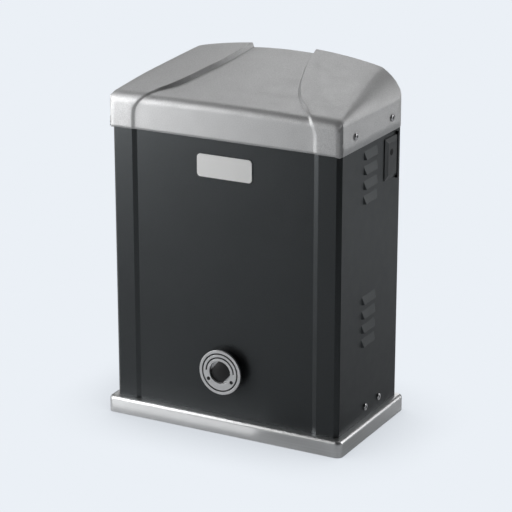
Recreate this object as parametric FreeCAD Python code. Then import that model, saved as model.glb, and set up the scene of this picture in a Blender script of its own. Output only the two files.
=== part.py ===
import FreeCAD, Part
import math
import os

from FreeCAD import Vector

# Sliding gate motor: a sheet-metal cabinet on a base tray, with a worm gearmotor inside.
# Millimetres. Origin: centre of the base footprint on the ground. +Z up, front towards -Y, gate behind (+Y).

# Cabinet
body_width = 340.0
body_depth = 182.0
body_height = 386.0
sheet = 2.0
corner_chamfer = 5.0
strip_width = 31.0
strip_bevel = 6.8
front_step = 1.8
panel_top_overlap = 31.0
panel_joint_gap = 0.3

# Base
base_height = 23.0
base_overhang = 10.0
base_wall = 3.0
base_corner_radius = 9.0
base_edge_radius = 5.0
plate_thickness = 10.0
plate_edge_gap = 0.5
anchor_spacing_x = 236.0
anchor_spacing_y = 132.0
anchor_slot_width = 12.0
anchor_slot_length = 30.0
anchor_access_margin = 8.0
levelling_inset = 22.0
levelling_radius = 5.0
levelling_length = 16.0
thread_clearance = 0.05
thread_end_gap = 3.0
cable_hole_radius = 21.0
cable_entry_radius = 16.0
cable_hole_x = -112.0
cable_hole_y = 0.0
grommet_lip = 4.0
grommet_lip_thickness = 3.0
spacer_radius = 11.0

# Lid
lid_proud = 3.0
lid_wall = 2.5
lid_band_height = 39.0
lid_front_rise = 48.6
lid_back_rise = 91.5
lid_hip_front_rise = 46.2
lid_hip_back_rise = 76.5
lid_rise_power = 1.3
lid_hip_front_inset = 2.0
lid_hip_back_inset = 33.0
lid_end_bulge = 4.5
lid_fold_radius = 10.0
lid_back_corner_radius = 10.0
ridge_height = 6.3
ridge_growth_share = 0.26
ridge_back_left_x = -56.0
ridge_back_right_x = 41.0
# Course of each ridge from front to back: share of the way back, share of the way out from its end.
ridge_left_course = ((0.05, 0.83), (0.11, 0.72), (0.17, 0.62), (0.245, 0.51), (0.34, 0.4), (0.5, 0.245),
                     (0.62, 0.155), (0.72, 0.095), (0.85, 0.03), (1.02, 0.0))
ridge_right_course = ((0.05, 0.86), (0.11, 0.76), (0.17, 0.67), (0.245, 0.55), (0.34, 0.435), (0.5, 0.29),
                      (0.62, 0.22), (0.72, 0.16), (0.85, 0.085), (1.02, 0.0))

# Louvres
louvre_length = 40.0
louvre_height = 11.5
louvre_reach = 3.4
louvre_end_slope = 3.2
louvre_wall = 1.0
louvre_pitch = 20.0
louvre_count = 4
louvre_centre_y = -1.0
louvre_lower_z = 128.5
louvre_upper_z = 328.0

# Screws of the cabinet
screw_radius = 2.5
screw_head_radius = 5.0
screw_head_height = 2.6
screw_length = 12.0
screw_hole_clearance = 0.2
screw_drive_size = 3.0
screw_drive_depth = 1.4
side_screw_setbacks = (97.0, 54.6)
side_screw_rise = 16.0
lid_screw_front_setback = 37.5
lid_screw_rear_setback = 34.3
lid_screw_rise = 19.0
rear_screw_rises = (40.0, 205.0, 360.0)
nut_side = 12.0
nut_thickness = 3.0
bracket_width = 75.0
bracket_height = 28.0
bracket_foot = 28.0
upright_leg = 20.0

# Badge
badge_width = 82.0
badge_height = 31.0
badge_thickness = 1.2
badge_corner_radius = 5.0
badge_centre_x = 1.2
badge_rise = 349.0

# Manual release on the front
release_disc_radius = 31.3
release_stand = 14.0
release_rim = 2.0
release_rim_step = 1.0
release_well_radius = 16.0
release_well_depth = 4.0
release_neck_radius = 17.0
release_neck_length = 12.0
release_groove_width = 1.9
release_groove_depth = 0.8
release_outer_groove = 26.3
release_inner_groove = 20.8
release_mark_radius = 2.6
release_mark_angle = 33.0
release_mark_depth = 1.0
plug_radius = 15.2
plug_flat_half_width = 12.0
plug_dome = 1.8
plug_recess = 0.8
plug_flat_angle = 40.0
plug_stem_radius = 7.0
release_throw = 6.0
nut_ring_width = 7.0
nut_ring_thickness = 6.0

# Running and seating clearances
running_clearance = 0.05
face_clearance = 0.3
part_clearance = 0.5

# Gear pair
gear_module = 3.0
wheel_teeth = 30
wheel_width = 22.0
wheel_bore_clearance = 0.05
worm_pitch_radius = 15.0
worm_length = 66.0
tooth_backlash = 0.55
tooth_tip_gap = 0.8

# Output shaft and pinion
output_height = 90.0
shaft_radius = 15.0
shaft_pinion_radius = 12.5
pinion_module = 4.0
pinion_teeth = 18
pinion_width = 30.0
pinion_panel_gap = 9.0
pinion_hub_radius = 22.0
key_width = 8.0
key_height = 7.0
pinion_screw_radius = 5.0
pinion_washer_radius = 19.0
pinion_washer_thickness = 4.0
pinion_screw_head = 6.0
pinion_screw_grip = 20.0

# Gear housing
housing_wall = 7.0
housing_front_y = -38.0
housing_rear_y = 36.0
wheel_side_gap = 4.0
housing_top_z = 160.0
housing_foot_height = 7.0
housing_foot_margin = 24.0
foot_bolt_radius = 5.0
foot_bolt_head = 6.0
motor_flange_thickness = 10.0
cover_thickness = 12.0
cover_screw_count = 6
cover_screw_radius = 3.0
cover_screw_head = 4.0
cover_screw_grip = 14.0
motor_bolt_grip = 7.0
oil_plug_spacing = 24.0
oil_plug_head = 5.0
oil_plug_length = 6.0
foot_spanner_room = 40.0
cover_screw_start = 0.0
motor_bolt_angles = (65.0, 115.0, 245.0, 295.0)
motor_bolt_inset = 8.0
bearing_width = 12.0
bearing_ring = 4.0
bearing_ball_count = 9
seal_width = 7.0
clutch_length = 15.0
clutch_radius = 27.0
dog_count = 4
dog_depth = 5.0
dog_width = 8.0
rod_radius = 5.0
cross_pin_radius = 3.0

# Motor
motor_radius = 64.0
motor_shell = 4.0
motor_fin_count = 30
motor_fin_height = 5.0
motor_fin_width = 2.2
motor_length = 160.0
stator_length = 90.0
stator_inner_radius = 40.5
air_gap = 0.5
winding_length = 20.0
motor_shaft_radius = 9.0
end_shield_thickness = 12.0
fan_radius = 54.0
fan_blades = 9
fan_height = 16.0
fan_gap = 4.0
cowl_wall = 1.5
cowl_height = 34.0

# Electrics
electrics_left_gap = 8.0
box_width = 84.0
box_depth = 130.0
box_height = 150.0
box_base_z = 238.0
box_wall = 2.5
board_thickness = 1.6
board_stand = 6.0
board_edge_gap = 4.0
board_screw_inset = 6.0
relay_count = 4
relay_gap = 7.5
relay_depth = 16.0
relay_height = 30.0
relay_top_gap = 14.0
terminal_count = 10
terminal_gap = 1.0
terminal_depth = 13.0
terminal_height = 16.0
terminal_low_gap = 4.0
terminal_screw_radius = 2.2
terminal_screw_depth = 7.0
transformer_gap = 35.0
transformer_size = 62.0
transformer_depth_share = 0.7
transformer_height_share = 0.85
coil_width_share = 0.62
coil_low_share = 0.17
coil_high_share = 0.68
coil_stand = 9.0
capacitor_rise = 17.0
capacitor_radius = 20.0
capacitor_length = 90.0
rail_foot = 24.0

# Limit switch
limit_width = 46.0
limit_height = 40.0
limit_depth = 26.0
limit_wall = 2.5
limit_rise = 125.0
limit_stem_radius = 4.0
limit_rod_radius = 2.0
limit_rod_length = 48.0
limit_rod_stand = 8.0
limit_coil_radius = 3.2
limit_coil_wire = 0.9
limit_coil_turns = 9

# Access flap on the right side
flap_depth = 40.0
flap_height = 57.0
flap_setback = 30.0
flap_centre_rise = 349.5
flap_thickness = 3.4
flap_bevel = 6.5
flap_edge = 0.9
flap_rim = 5.0
flap_pin_radius = 1.0
flap_pin_running = 0.07
flap_knuckle_radius = 1.7
flap_lug_height = 3.5
flap_end_gap = 0.3
lock_offset_y = -4.0
lock_offset_z = 8.5
lock_radius = 4.5
lock_depth = 10.0
lock_key_width = 1.2
lock_key_height = 5.0
lock_tongue_length = 15.0
lock_tongue_width = 6.0
lock_tongue_thickness = 2.0

# Derived places shared by several pieces
half_width = body_width / 2
half_depth = body_depth / 2
body_bottom = base_height
body_top = body_bottom + body_height
panel_top = body_top + panel_top_overlap
strip_inner_x = half_width - strip_width
centre_face_y = -half_depth + front_step
output_z = output_height
wheel_radius = gear_module * wheel_teeth / 2
worm_x = wheel_radius + worm_pitch_radius
worm_pitch = math.pi * gear_module
pinion_start_y = half_depth + pinion_panel_gap
pinion_end_y = pinion_start_y + pinion_width
lid_half_width = half_width + lid_proud
lid_half_depth = half_depth + lid_proud
flap_centre_z = body_bottom + flap_centre_rise
flap_back_x = half_width + face_clearance
flap_axis_x = flap_back_x + flap_knuckle_radius
side_screw_y = [half_depth - setback for setback in side_screw_setbacks]
lid_screw_y = [lid_screw_front_setback - half_depth, half_depth - lid_screw_rear_setback]
flap_centre_y = half_depth - flap_setback
flap_axis_y = flap_centre_y + flap_depth / 2 - flap_knuckle_radius
lock_y = flap_centre_y + lock_offset_y
lock_z = flap_centre_z + lock_offset_z
X_AXIS = Vector(1, 0, 0)
Y_AXIS = Vector(0, 1, 0)
Z_AXIS = Vector(0, 0, 1)
SIDES = (-1, 1)


def box(x0, x1, y0, y1, z0, z1):
    return Part.makeBox(x1 - x0, y1 - y0, z1 - z0, Vector(x0, y0, z0))


def rod(start, direction, radius, length):
    return Part.makeCylinder(radius, length, start, direction)


def ring(start, direction, outer, inner, length):
    return rod(start, direction, outer, length).cut(rod(start, direction, inner, length))


def joined(shapes):
    result = shapes[0]
    if len(shapes) > 1:
        result = result.multiFuse(list(shapes[1:]))
    return result.removeSplitter()


def group(shapes):
    return Part.makeCompound(list(shapes))


def prism(points, z0, z1):
    wire = Part.makePolygon([Vector(x, y, z0) for x, y in points] + [Vector(points[0][0], points[0][1], z0)])
    return Part.Face(wire).extrude(Vector(0, 0, z1 - z0))


def turned(shape, centre, axis, angle):
    copy = shape.copy()
    copy.rotate(centre, axis, angle)
    return copy


def moved(shape, offset):
    copy = shape.copy()
    copy.translate(offset)
    return copy


def stood(shape, start, direction):
    """Takes a shape built upward from the origin and stands it at start, along direction."""
    copy = shape.copy()
    copy.Placement = FreeCAD.Placement(start, FreeCAD.Rotation(Z_AXIS, direction))
    return copy


def hexagon(across_flats, height):
    corner = across_flats / math.sqrt(3)
    points = [(corner * math.cos(math.radians(60 * i)), corner * math.sin(math.radians(60 * i))) for i in range(6)]
    return prism(points, 0, height)


def pan_screw(start, direction, head_radius, head_height, shank_radius, shank_length, drive):
    """A screw whose head stands on start and whose shank runs back against direction."""
    head = Part.makeCylinder(head_radius, head_height)
    top = [edge for edge in head.Edges if abs(edge.CenterOfMass.z - head_height) < 0.01 and len(edge.Vertexes) == 1]
    head = head.makeFillet(head_height * 0.6, top)
    head = head.cut(moved(hexagon(drive, head_height), Vector(0, 0, head_height - screw_drive_depth)))
    shank = Part.makeCylinder(shank_radius, shank_length, Vector(0, 0, -shank_length))
    return stood(head.fuse(shank).removeSplitter(), start, direction)


def hex_screw(start, direction, head_height, shank_radius, shank_length):
    head = hexagon(shank_radius * 3.2, head_height)
    shank = Part.makeCylinder(shank_radius, shank_length, Vector(0, 0, -shank_length))
    return stood(head.fuse(shank).removeSplitter(), start, direction)


def offset_line(points, distance):
    """Moves an open line of plan points to its left by distance, with mitred corners."""
    normals = []
    for (ax, ay), (bx, by) in zip(points, points[1:]):
        length = math.hypot(bx - ax, by - ay)
        normals.append((-(by - ay) / length, (bx - ax) / length))
    result = []
    for i, (px, py) in enumerate(points):
        before = normals[max(i - 1, 0)]
        after = normals[min(i, len(normals) - 1)]
        scale = distance / (1 + before[0] * after[0] + before[1] * after[1])
        result.append((px + (before[0] + after[0]) * scale, py + (before[1] + after[1]) * scale))
    return result


def folded_sheet(points, thickness, z0, z1):
    return prism(points + offset_line(points, thickness)[::-1], z0, z1)


def mirrored_plan(points):
    """The same line seen from the other side of the cabinet, in an order that keeps left inside."""
    return [(-x, y) for x, y in points][::-1]


def gear_outline(teeth, module, width_at_pitch, addendum, dedendum, angle):
    """Plan points of a straight-flanked gear centred on the origin, one tooth gap centred on the angle."""
    pitch_radius = module * teeth / 2
    step = 2 * math.pi / teeth
    flank = math.tan(math.radians(20))
    points = []
    for i in range(teeth):
        centre = math.radians(angle) + (i + 0.5) * step
        for side, radius in ((-1, -dedendum), (-1, addendum), (1, addendum), (1, -dedendum)):
            half = (width_at_pitch / 2 - radius * flank) / pitch_radius
            where = centre + side * half
            points.append(((pitch_radius + radius) * math.cos(where), (pitch_radius + radius) * math.sin(where)))
    return points


# Base

def plate_outline(half_x, half_y, radius, z0, z1):
    plate = box(-half_x, half_x, -half_y, half_y, z0, z1)
    upright = [edge for edge in plate.Edges if abs(edge.Vertexes[0].Z - edge.Vertexes[1].Z) > 0.01]
    return plate.makeFillet(radius, upright)


def slot(centre_x, centre_y, width, length, z0, z1):
    half = (length - width) / 2
    middle = box(centre_x - half, centre_x + half, centre_y - width / 2, centre_y + width / 2, z0, z1)
    ends = [rod(Vector(centre_x + side * half, centre_y, z0), Z_AXIS, width / 2, z1 - z0) for side in SIDES]
    return joined([middle] + ends)


def anchor_places():
    return [(sx * anchor_spacing_x / 2, sy * anchor_spacing_y / 2) for sx in SIDES for sy in SIDES]


def levelling_places():
    return [(sx * (half_width - levelling_inset), sy * (half_depth - levelling_inset)) for sx in SIDES for sy in SIDES]


def foot_places():
    left = -(wheel_radius + housing_wall)
    right = worm_x + worm_pitch_radius + housing_wall
    reach = housing_rear_y + housing_foot_margin / 2
    return [(x, side * reach) for x in (left, right) for side in SIDES]


def base_tray():
    half_x = half_width + base_overhang
    half_y = half_depth + base_overhang
    outer = plate_outline(half_x, half_y, base_corner_radius, 0, base_height)
    rim = [edge for edge in outer.Edges if edge.BoundBox.ZMin > base_height - 0.01]
    outer = outer.makeFillet(base_edge_radius, rim)
    inner = plate_outline(half_x - base_wall, half_y - base_wall, base_corner_radius - base_wall,
                          0, base_height - base_wall)
    tray = outer.cut(inner)
    low = base_height - 2 * base_wall
    for x, y in anchor_places():
        reach_x = anchor_slot_length / 2 + anchor_access_margin
        reach_y = anchor_slot_width / 2 + anchor_access_margin
        tray = tray.cut(box(x - reach_x, x + reach_x, y - reach_y, y + reach_y, low, base_height + 1))
    for x, y in levelling_places():
        tray = tray.cut(rod(Vector(x, y, low), Z_AXIS, levelling_radius + 1, base_height))
    for x, y in foot_places():
        tray = tray.cut(rod(Vector(x, y, low), Z_AXIS, foot_bolt_radius + screw_hole_clearance, base_height))
    return tray.cut(rod(Vector(cable_hole_x, cable_hole_y, low), Z_AXIS, cable_hole_radius, base_height))


def mounting_plate():
    inset = base_wall + plate_edge_gap
    half_x = half_width + base_overhang - inset
    half_y = half_depth + base_overhang - inset
    plate = plate_outline(half_x, half_y, base_corner_radius - base_wall, 0, plate_thickness)
    for x, y in anchor_places():
        plate = plate.cut(slot(x, y, anchor_slot_width, anchor_slot_length, -1, plate_thickness + 1))
    for x, y in levelling_places():
        plate = plate.cut(rod(Vector(x, y, -1), Z_AXIS, levelling_radius + thread_clearance, plate_thickness + 2))
    for x, y in foot_places():
        plate = plate.cut(rod(Vector(x, y, -1), Z_AXIS, foot_bolt_radius + thread_clearance, plate_thickness + 2))
    return plate.cut(rod(Vector(cable_hole_x, cable_hole_y, -1), Z_AXIS, cable_hole_radius, plate_thickness + 2))


def base_spacers():
    height = base_height - base_wall - plate_thickness
    bore = foot_bolt_radius + screw_hole_clearance
    return group([ring(Vector(x, y, plate_thickness), Z_AXIS, spacer_radius, bore, height) for x, y in foot_places()])


def levelling_screws():
    screws = []
    for x, y in levelling_places():
        screw = rod(Vector(x, y, 0), Z_AXIS, levelling_radius, levelling_length)
        socket = moved(hexagon(levelling_radius, levelling_length), Vector(x, y, levelling_length - levelling_radius))
        screws.append(screw.cut(socket))
    return group(screws)


def cable_grommet():
    neck = ring(Vector(cable_hole_x, cable_hole_y, base_height - base_wall), Z_AXIS,
                cable_hole_radius, cable_entry_radius, base_wall)
    lip = ring(Vector(cable_hole_x, cable_hole_y, base_height), Z_AXIS,
               cable_hole_radius + grommet_lip, cable_entry_radius, grommet_lip_thickness)
    skirt = ring(Vector(cable_hole_x, cable_hole_y, base_height - base_wall - grommet_lip_thickness), Z_AXIS,
                 cable_hole_radius + grommet_lip, cable_entry_radius, grommet_lip_thickness)
    return joined([neck, lip, skirt])


# Cabinet sheets

def screw_hole(start, direction, length):
    return rod(start, direction, screw_radius + screw_hole_clearance, length)


def front_line():
    """Outer plan line of the front, from the left side to the right: chamfer, strip, step and recessed centre."""
    right = [
        (strip_inner_x - strip_bevel, centre_face_y),
        (strip_inner_x, -half_depth),
        (half_width - corner_chamfer, -half_depth),
        (half_width, -half_depth + corner_chamfer),
    ]
    return mirrored_plan(right) + right


def front_panel():
    panel = folded_sheet(front_line(), sheet, body_bottom, panel_top)
    hole_start = Vector(0, centre_face_y - 1, output_z)
    return panel.cut(rod(hole_start, Y_AXIS, release_neck_radius + part_clearance, sheet + 2))


def louvre_form(side, centre_y, bottom_z, inset):
    """A pressed hood: flush at its top edge, standing out at its open lower edge, with sloped ends."""
    face_x = side * half_width
    reach = side * (louvre_reach - inset)
    root = side * (sheet + 1) if inset else 0
    y0 = centre_y - louvre_length / 2 + inset
    y1 = centre_y + louvre_length / 2 - inset
    z1 = bottom_z + louvre_height - 1.6 * inset
    z0 = bottom_z - (1 if inset else 0)
    low = [Vector(face_x, y0, z0), Vector(face_x, y1, z0)]
    high = [Vector(face_x, y1, z1), Vector(face_x, y0, z1)]
    lip = [Vector(face_x + reach, y0 + louvre_end_slope, z0), Vector(face_x + reach, y1 - louvre_end_slope, z0)]
    outlines = ([low[0], low[1], high[0], high[1]], [low[0], low[1], lip[1], lip[0]],
                [high[1], high[0], lip[1], lip[0]], [low[0], high[1], lip[0]], [low[1], high[0], lip[1]])
    faces = [Part.Face(Part.makePolygon(points + [points[0]])) for points in outlines]
    hood = Part.Solid(Part.makeShell(faces))
    if hood.Volume < 0:
        hood.reverse()
    if not root:
        return hood
    throat_x = sorted((face_x - root, face_x))
    return hood.fuse(box(throat_x[0], throat_x[1], y0, y1, z0 + 1, z1))


def louvre_bottoms():
    return [start + i * louvre_pitch for start in (louvre_lower_z, louvre_upper_z) for i in range(louvre_count)]


def side_panel(side):
    start_y = -half_depth + corner_chamfer + sheet / math.sqrt(2) + panel_joint_gap
    near, far = sorted((side * half_width, side * (half_width - sheet)))
    panel = box(near, far, start_y, half_depth - sheet, body_bottom, panel_top)
    hoods = [louvre_form(side, louvre_centre_y, z, 0) for z in louvre_bottoms()]
    hollows = [louvre_form(side, louvre_centre_y, z, louvre_wall) for z in louvre_bottoms()]
    panel = joined([panel] + hoods).cut(group(hollows)).cut(lid_corner_notch(side))
    outside = side * (half_width + 1)
    inward = Vector(-side, 0, 0)
    for y in side_screw_y:
        panel = panel.cut(screw_hole(Vector(outside, y, body_bottom + side_screw_rise), inward, sheet + 2))
    for y in lid_screw_y:
        panel = panel.cut(screw_hole(Vector(outside, y, body_top + lid_screw_rise), inward, sheet + 2))
    return panel


def lid_corner_notch(side):
    """Room above the body for the rounded inner corner of the lid, at the back."""
    notch = lid_back_corner_radius - lid_wall
    near, far = sorted((side * (half_width - notch), side * (half_width + 1)))
    return box(near, far, half_depth - notch, half_depth + 1, body_top, panel_top + 1)


def left_panel():
    return side_panel(-1)


def right_panel():
    window = box(half_width - sheet - 1, half_width + 1,
                 flap_centre_y - flap_depth / 2 + flap_rim, flap_centre_y + flap_depth / 2 - flap_rim,
                 flap_centre_z - flap_height / 2 + flap_rim, flap_centre_z + flap_height / 2 - flap_rim)
    return side_panel(1).cut(window)


def rear_screw_places():
    x = half_width - sheet - upright_leg / 2
    return [(side * x, body_bottom + rise) for side in SIDES for rise in rear_screw_rises]


def rear_panel():
    panel = box(-half_width, half_width, half_depth - sheet, half_depth, body_bottom, panel_top)
    hole = rod(Vector(0, half_depth - sheet - 1, output_z), Y_AXIS, pinion_hub_radius, sheet + 2)
    panel = panel.cut(hole).cut(lid_corner_notch(-1)).cut(lid_corner_notch(1))
    for x, z in rear_screw_places():
        panel = panel.cut(screw_hole(Vector(x, half_depth + 1, z), Vector(0, -1, 0), sheet + 2))
    return panel


def frame_uprights():
    inner_x = half_width - sheet
    front = offset_line(front_line(), sheet)[-3:]
    front_leg_x = front[0][0] if front[0][0] > inner_x - upright_leg else inner_x - upright_leg
    corner = [(front_leg_x, front[1][1]), front[1], (inner_x, front[2][1]), (inner_x, front[2][1] + upright_leg)]
    rear_y = half_depth - sheet
    rear = [(inner_x, rear_y - upright_leg), (inner_x, rear_y), (inner_x - upright_leg, rear_y)]
    lines = [corner, rear, mirrored_plan(corner), mirrored_plan(rear)]
    posts = [folded_sheet(line, sheet, body_bottom, panel_top) for line in lines]
    holes = [screw_hole(Vector(x, half_depth + 1, z), Vector(0, -1, 0), 3 * sheet) for x, z in rear_screw_places()]
    return group([post.cut(group(holes)) for post in posts])


def base_brackets():
    brackets = []
    middle = sum(side_screw_y) / 2
    for side in SIDES:
        wall = sorted((side * (half_width - sheet), side * (half_width - 2 * sheet)))
        foot = sorted((side * (half_width - sheet), side * (half_width - sheet - bracket_foot)))
        y0 = middle - bracket_width / 2
        y1 = middle + bracket_width / 2
        bracket = box(wall[0], wall[1], y0, y1, body_bottom, body_bottom + bracket_height)
        bracket = bracket.fuse(box(foot[0], foot[1], y0, y1, body_bottom, body_bottom + sheet))
        for y in side_screw_y:
            start = Vector(side * (half_width + 1), y, body_bottom + side_screw_rise)
            bracket = bracket.cut(rod(start, Vector(-side, 0, 0), screw_radius + thread_clearance, 3 * sheet))
        brackets.append(bracket.removeSplitter())
    return group(brackets)


def cabinet_screw(start, direction):
    return pan_screw(start, direction, screw_head_radius, screw_head_height, screw_radius, screw_length,
                     screw_drive_size)


def cabinet_screws():
    """The equal pan-head screws of the sides, the lid's skirt and the back."""
    places = []
    for side in SIDES:
        outward = Vector(side, 0, 0)
        places += [(Vector(side * half_width, y, body_bottom + side_screw_rise), outward) for y in side_screw_y]
        places += [(Vector(side * lid_half_width, y, body_top + lid_screw_rise), outward) for y in lid_screw_y]
    places += [(Vector(x, half_depth, z), Y_AXIS) for x, z in rear_screw_places()]
    return group([cabinet_screw(start, direction) for start, direction in places])


def lid_nuts():
    nuts = []
    for side in SIDES:
        for y in lid_screw_y:
            z = body_top + lid_screw_rise
            x = sorted((side * (half_width - sheet), side * (half_width - sheet - nut_thickness)))
            nut = box(x[0], x[1], y - nut_side / 2, y + nut_side / 2, z - nut_side / 2, z + nut_side / 2)
            start = Vector(side * half_width, y, z)
            bore = rod(start, Vector(-side, 0, 0), screw_radius + thread_clearance, sheet + nut_thickness + 1)
            nuts.append(nut.cut(bore))
    return group(nuts)


# Lid

def ease(share, power):
    return 1 - max(1 - share, 0) ** power


def ridge_drop(share):
    """How far the centre lies below the wings: the strip's depth at the front, growing to the ridge's height."""
    grown = min(share / ridge_growth_share, 1)
    return front_step + (ridge_height - front_step) * grown * grown * (3 - 2 * grown)


def lid_section(y, low_z, drop, inset, centre):
    """Closed outline across the lid at depth y, its top lowered by drop and its sides drawn in by inset."""
    share = (y + lid_half_depth) / (2 * lid_half_depth)
    rise = ease(share, lid_rise_power)
    if centre:
        drop = drop + ridge_drop(share)
    crown = body_top + lid_front_rise + (lid_back_rise - lid_front_rise) * rise - drop
    hip_z = body_top + lid_hip_front_rise + (lid_hip_back_rise - lid_hip_front_rise) * rise - drop
    hip_inset = lid_hip_front_inset + (lid_hip_back_inset - lid_hip_front_inset) * rise
    hip_x = lid_half_width - hip_inset - inset / 2
    side_x = lid_half_width - inset
    side_z = body_top + lid_band_height - drop
    chord = math.hypot(side_x - hip_x, hip_z - side_z)
    upright_bulge = chord * (side_x - hip_x) / (chord + hip_z - side_z) / 2
    bulge = min(lid_end_bulge, 0.9 * upright_bulge)
    bulge_x = (hip_x + side_x) / 2 + bulge * (hip_z - side_z) / chord
    bulge_z = (hip_z + side_z) / 2 + bulge * (side_x - hip_x) / chord

    def at(x, z):
        return Vector(x, y, z)

    return Part.Wire([
        Part.LineSegment(at(-side_x, low_z), at(side_x, low_z)).toShape(),
        Part.LineSegment(at(side_x, low_z), at(side_x, side_z)).toShape(),
        Part.Arc(at(side_x, side_z), at(bulge_x, bulge_z), at(hip_x, hip_z)).toShape(),
        Part.Arc(at(hip_x, hip_z), at(0, crown), at(-hip_x, hip_z)).toShape(),
        Part.Arc(at(-hip_x, hip_z), at(-bulge_x, bulge_z), at(-side_x, side_z)).toShape(),
        Part.LineSegment(at(-side_x, side_z), at(-side_x, low_z)).toShape(),
    ])


def fold_cutter(front_y, crown, round_x):
    """What the rounded fold takes off between the front face and the rising top."""
    slope = lid_rise_power * (lid_back_rise - lid_front_rise) / (2 * lid_half_depth)
    length = math.hypot(1, slope)
    radius = lid_fold_radius
    centre = Vector(0, front_y + radius, crown + radius * (slope - length))
    reach = 2 * radius
    tangent = centre + Vector(0, -slope, 1) * (reach / length)
    points = [(centre.y, centre.z), (front_y - 1, centre.z), (front_y - 1, tangent.z), (tangent.y, tangent.z)]
    outline = Part.makePolygon([Vector(-round_x, y, z) for y, z in points + points[:1]])
    wedge = Part.Face(outline).extrude(Vector(2 * round_x, 0, 0))
    return wedge.cut(rod(Vector(-round_x - 1, centre.y, centre.z), X_AXIS, radius, 2 * round_x + 2))


def lid_form(low_z, inset, centre):
    """One solid form of the lid from low_z up, drawn in by inset: the wings, or the lowered and set-back centre."""
    side_x = lid_half_width - inset
    step = front_step if centre else 0
    front_y = -lid_half_depth + inset + step
    back_y = lid_half_depth - inset
    shares = (0, 0.07, 0.15, 0.26, 0.4, 0.55, 0.7, 0.85, 1)
    stations = [front_y + (back_y - front_y) * share for share in shares]
    form = Part.makeLoft([lid_section(y, low_z, inset, inset, centre) for y in stations], True, False)
    if form.Volume < 0:
        form.reverse()
    low = body_top - 2
    high = body_top + lid_back_rise + 5
    round_x = side_x + 1
    cutters = [fold_cutter(front_y, body_top + lid_front_rise - inset - step, round_x)]
    corner = lid_back_corner_radius - inset
    for side in SIDES:
        chamfer = [(side * (side_x + 1), front_y - 1), (side * (side_x + 1), front_y + corner_chamfer + 1),
                   (side * (side_x - corner_chamfer - 1), front_y - 1)]
        cutters.append(prism(chamfer, low, high))
        near, far = sorted((side * (side_x - corner), side * (side_x + 1)))
        block = box(near, far, back_y - corner, back_y + 1, low, high)
        cutters.append(block.cut(rod(Vector(side * (side_x - corner), back_y - corner, low), Z_AXIS, corner,
                                     high - low)))
    return form.cut(group(cutters))


def ridge_region(grow):
    """Plan region of the lowered centre, bounded by the two S-shaped ridges."""
    low = body_top - 5
    front_y = -lid_half_depth
    bevel_y = front_y + front_step + grow
    back_y = lid_half_depth
    start_x = strip_inner_x - strip_bevel
    span = back_y - bevel_y

    def curve(side, back_x, course):
        reach = start_x - abs(back_x) - grow
        return [Vector(side * (abs(back_x) + grow + reach * across), bevel_y + span * along, low)
                for along, across in course]

    left = [Vector(-start_x, bevel_y, low)] + curve(-1, ridge_back_left_x, ridge_left_course)
    right = [Vector(start_x, bevel_y, low)] + curve(1, ridge_back_right_x, ridge_right_course)
    spline_left = Part.BSplineCurve()
    spline_left.interpolate(left)
    spline_right = Part.BSplineCurve()
    spline_right.interpolate(right)
    out_x = start_x + 2 * strip_bevel
    out_y = bevel_y - 2 * front_step
    out_left = Vector(-out_x, out_y, low)
    out_right = Vector(out_x, out_y, low)
    edges = [
        Part.LineSegment(out_left, left[0]).toShape(),
        spline_left.toShape(),
        Part.LineSegment(left[-1], right[-1]).toShape(),
        spline_right.toShape(),
        Part.LineSegment(right[0], out_right).toShape(),
        Part.LineSegment(out_right, out_left).toShape(),
    ]
    return Part.Face(Part.Wire(Part.__sortEdges__(edges))).extrude(Vector(0, 0, lid_back_rise + 20))


def lid_mass(low_z, inset):
    """Wings at full height with the centre lowered and set back between the ridges."""
    region = ridge_region(inset)
    wings = lid_form(low_z, inset, False).cut(region)
    centre = lid_form(low_z, inset, True).common(region)
    return wings.fuse(centre)


def lid():
    shell = lid_mass(body_top, 0).cut(lid_mass(body_top - 1, lid_wall))
    for side in SIDES:
        for y in lid_screw_y:
            start = Vector(side * (lid_half_width + 1), y, body_top + lid_screw_rise)
            shell = shell.cut(screw_hole(start, Vector(-side, 0, 0), lid_wall + 2))
    return shell


# Badge

def badge_plate():
    z = body_bottom + badge_rise
    x0 = badge_centre_x - badge_width / 2
    plate = box(x0, x0 + badge_width, centre_face_y - badge_thickness, centre_face_y,
                z - badge_height / 2, z + badge_height / 2)
    corners = [edge for edge in plate.Edges if edge.BoundBox.YLength > badge_thickness / 2]
    return plate.makeFillet(badge_corner_radius, corners)


# Manual release

def release_bezel():
    face_y = centre_face_y - release_stand
    body = rod(Vector(0, face_y + release_rim_step, output_z), Y_AXIS, release_disc_radius - release_rim,
               release_stand - release_rim_step)
    disc = rod(Vector(0, face_y, output_z), Y_AXIS, release_disc_radius, 3 * release_rim_step)
    neck = rod(Vector(0, centre_face_y, output_z), Y_AXIS, release_neck_radius, release_neck_length)
    bezel = joined([body, disc, neck])
    bezel = bezel.cut(rod(Vector(0, face_y - 1, output_z), Y_AXIS, release_well_radius, release_well_depth + 1))
    stem_bore = plug_stem_radius + running_clearance
    bezel = bezel.cut(rod(Vector(0, face_y, output_z), Y_AXIS, stem_bore, release_stand + release_neck_length + 1))
    start = Vector(0, face_y - 1, output_z)
    outer = ring(start, Y_AXIS, release_outer_groove + release_groove_width / 2,
                 release_outer_groove - release_groove_width / 2, release_groove_depth + 1)
    inner = ring(start, Y_AXIS, release_inner_groove + release_groove_width / 2,
                 release_inner_groove - release_groove_width / 2, release_groove_depth + 1)
    upper = box(-release_disc_radius, release_disc_radius, face_y - 1, face_y + release_groove_depth,
                output_z, output_z + release_disc_radius)
    bezel = bezel.cut(outer).cut(inner.common(upper))
    return bezel.cut(group([rod(start, Y_AXIS, release_mark_radius, release_mark_depth + 1).translated(offset)
                            for offset in release_mark_offsets()]))


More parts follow.
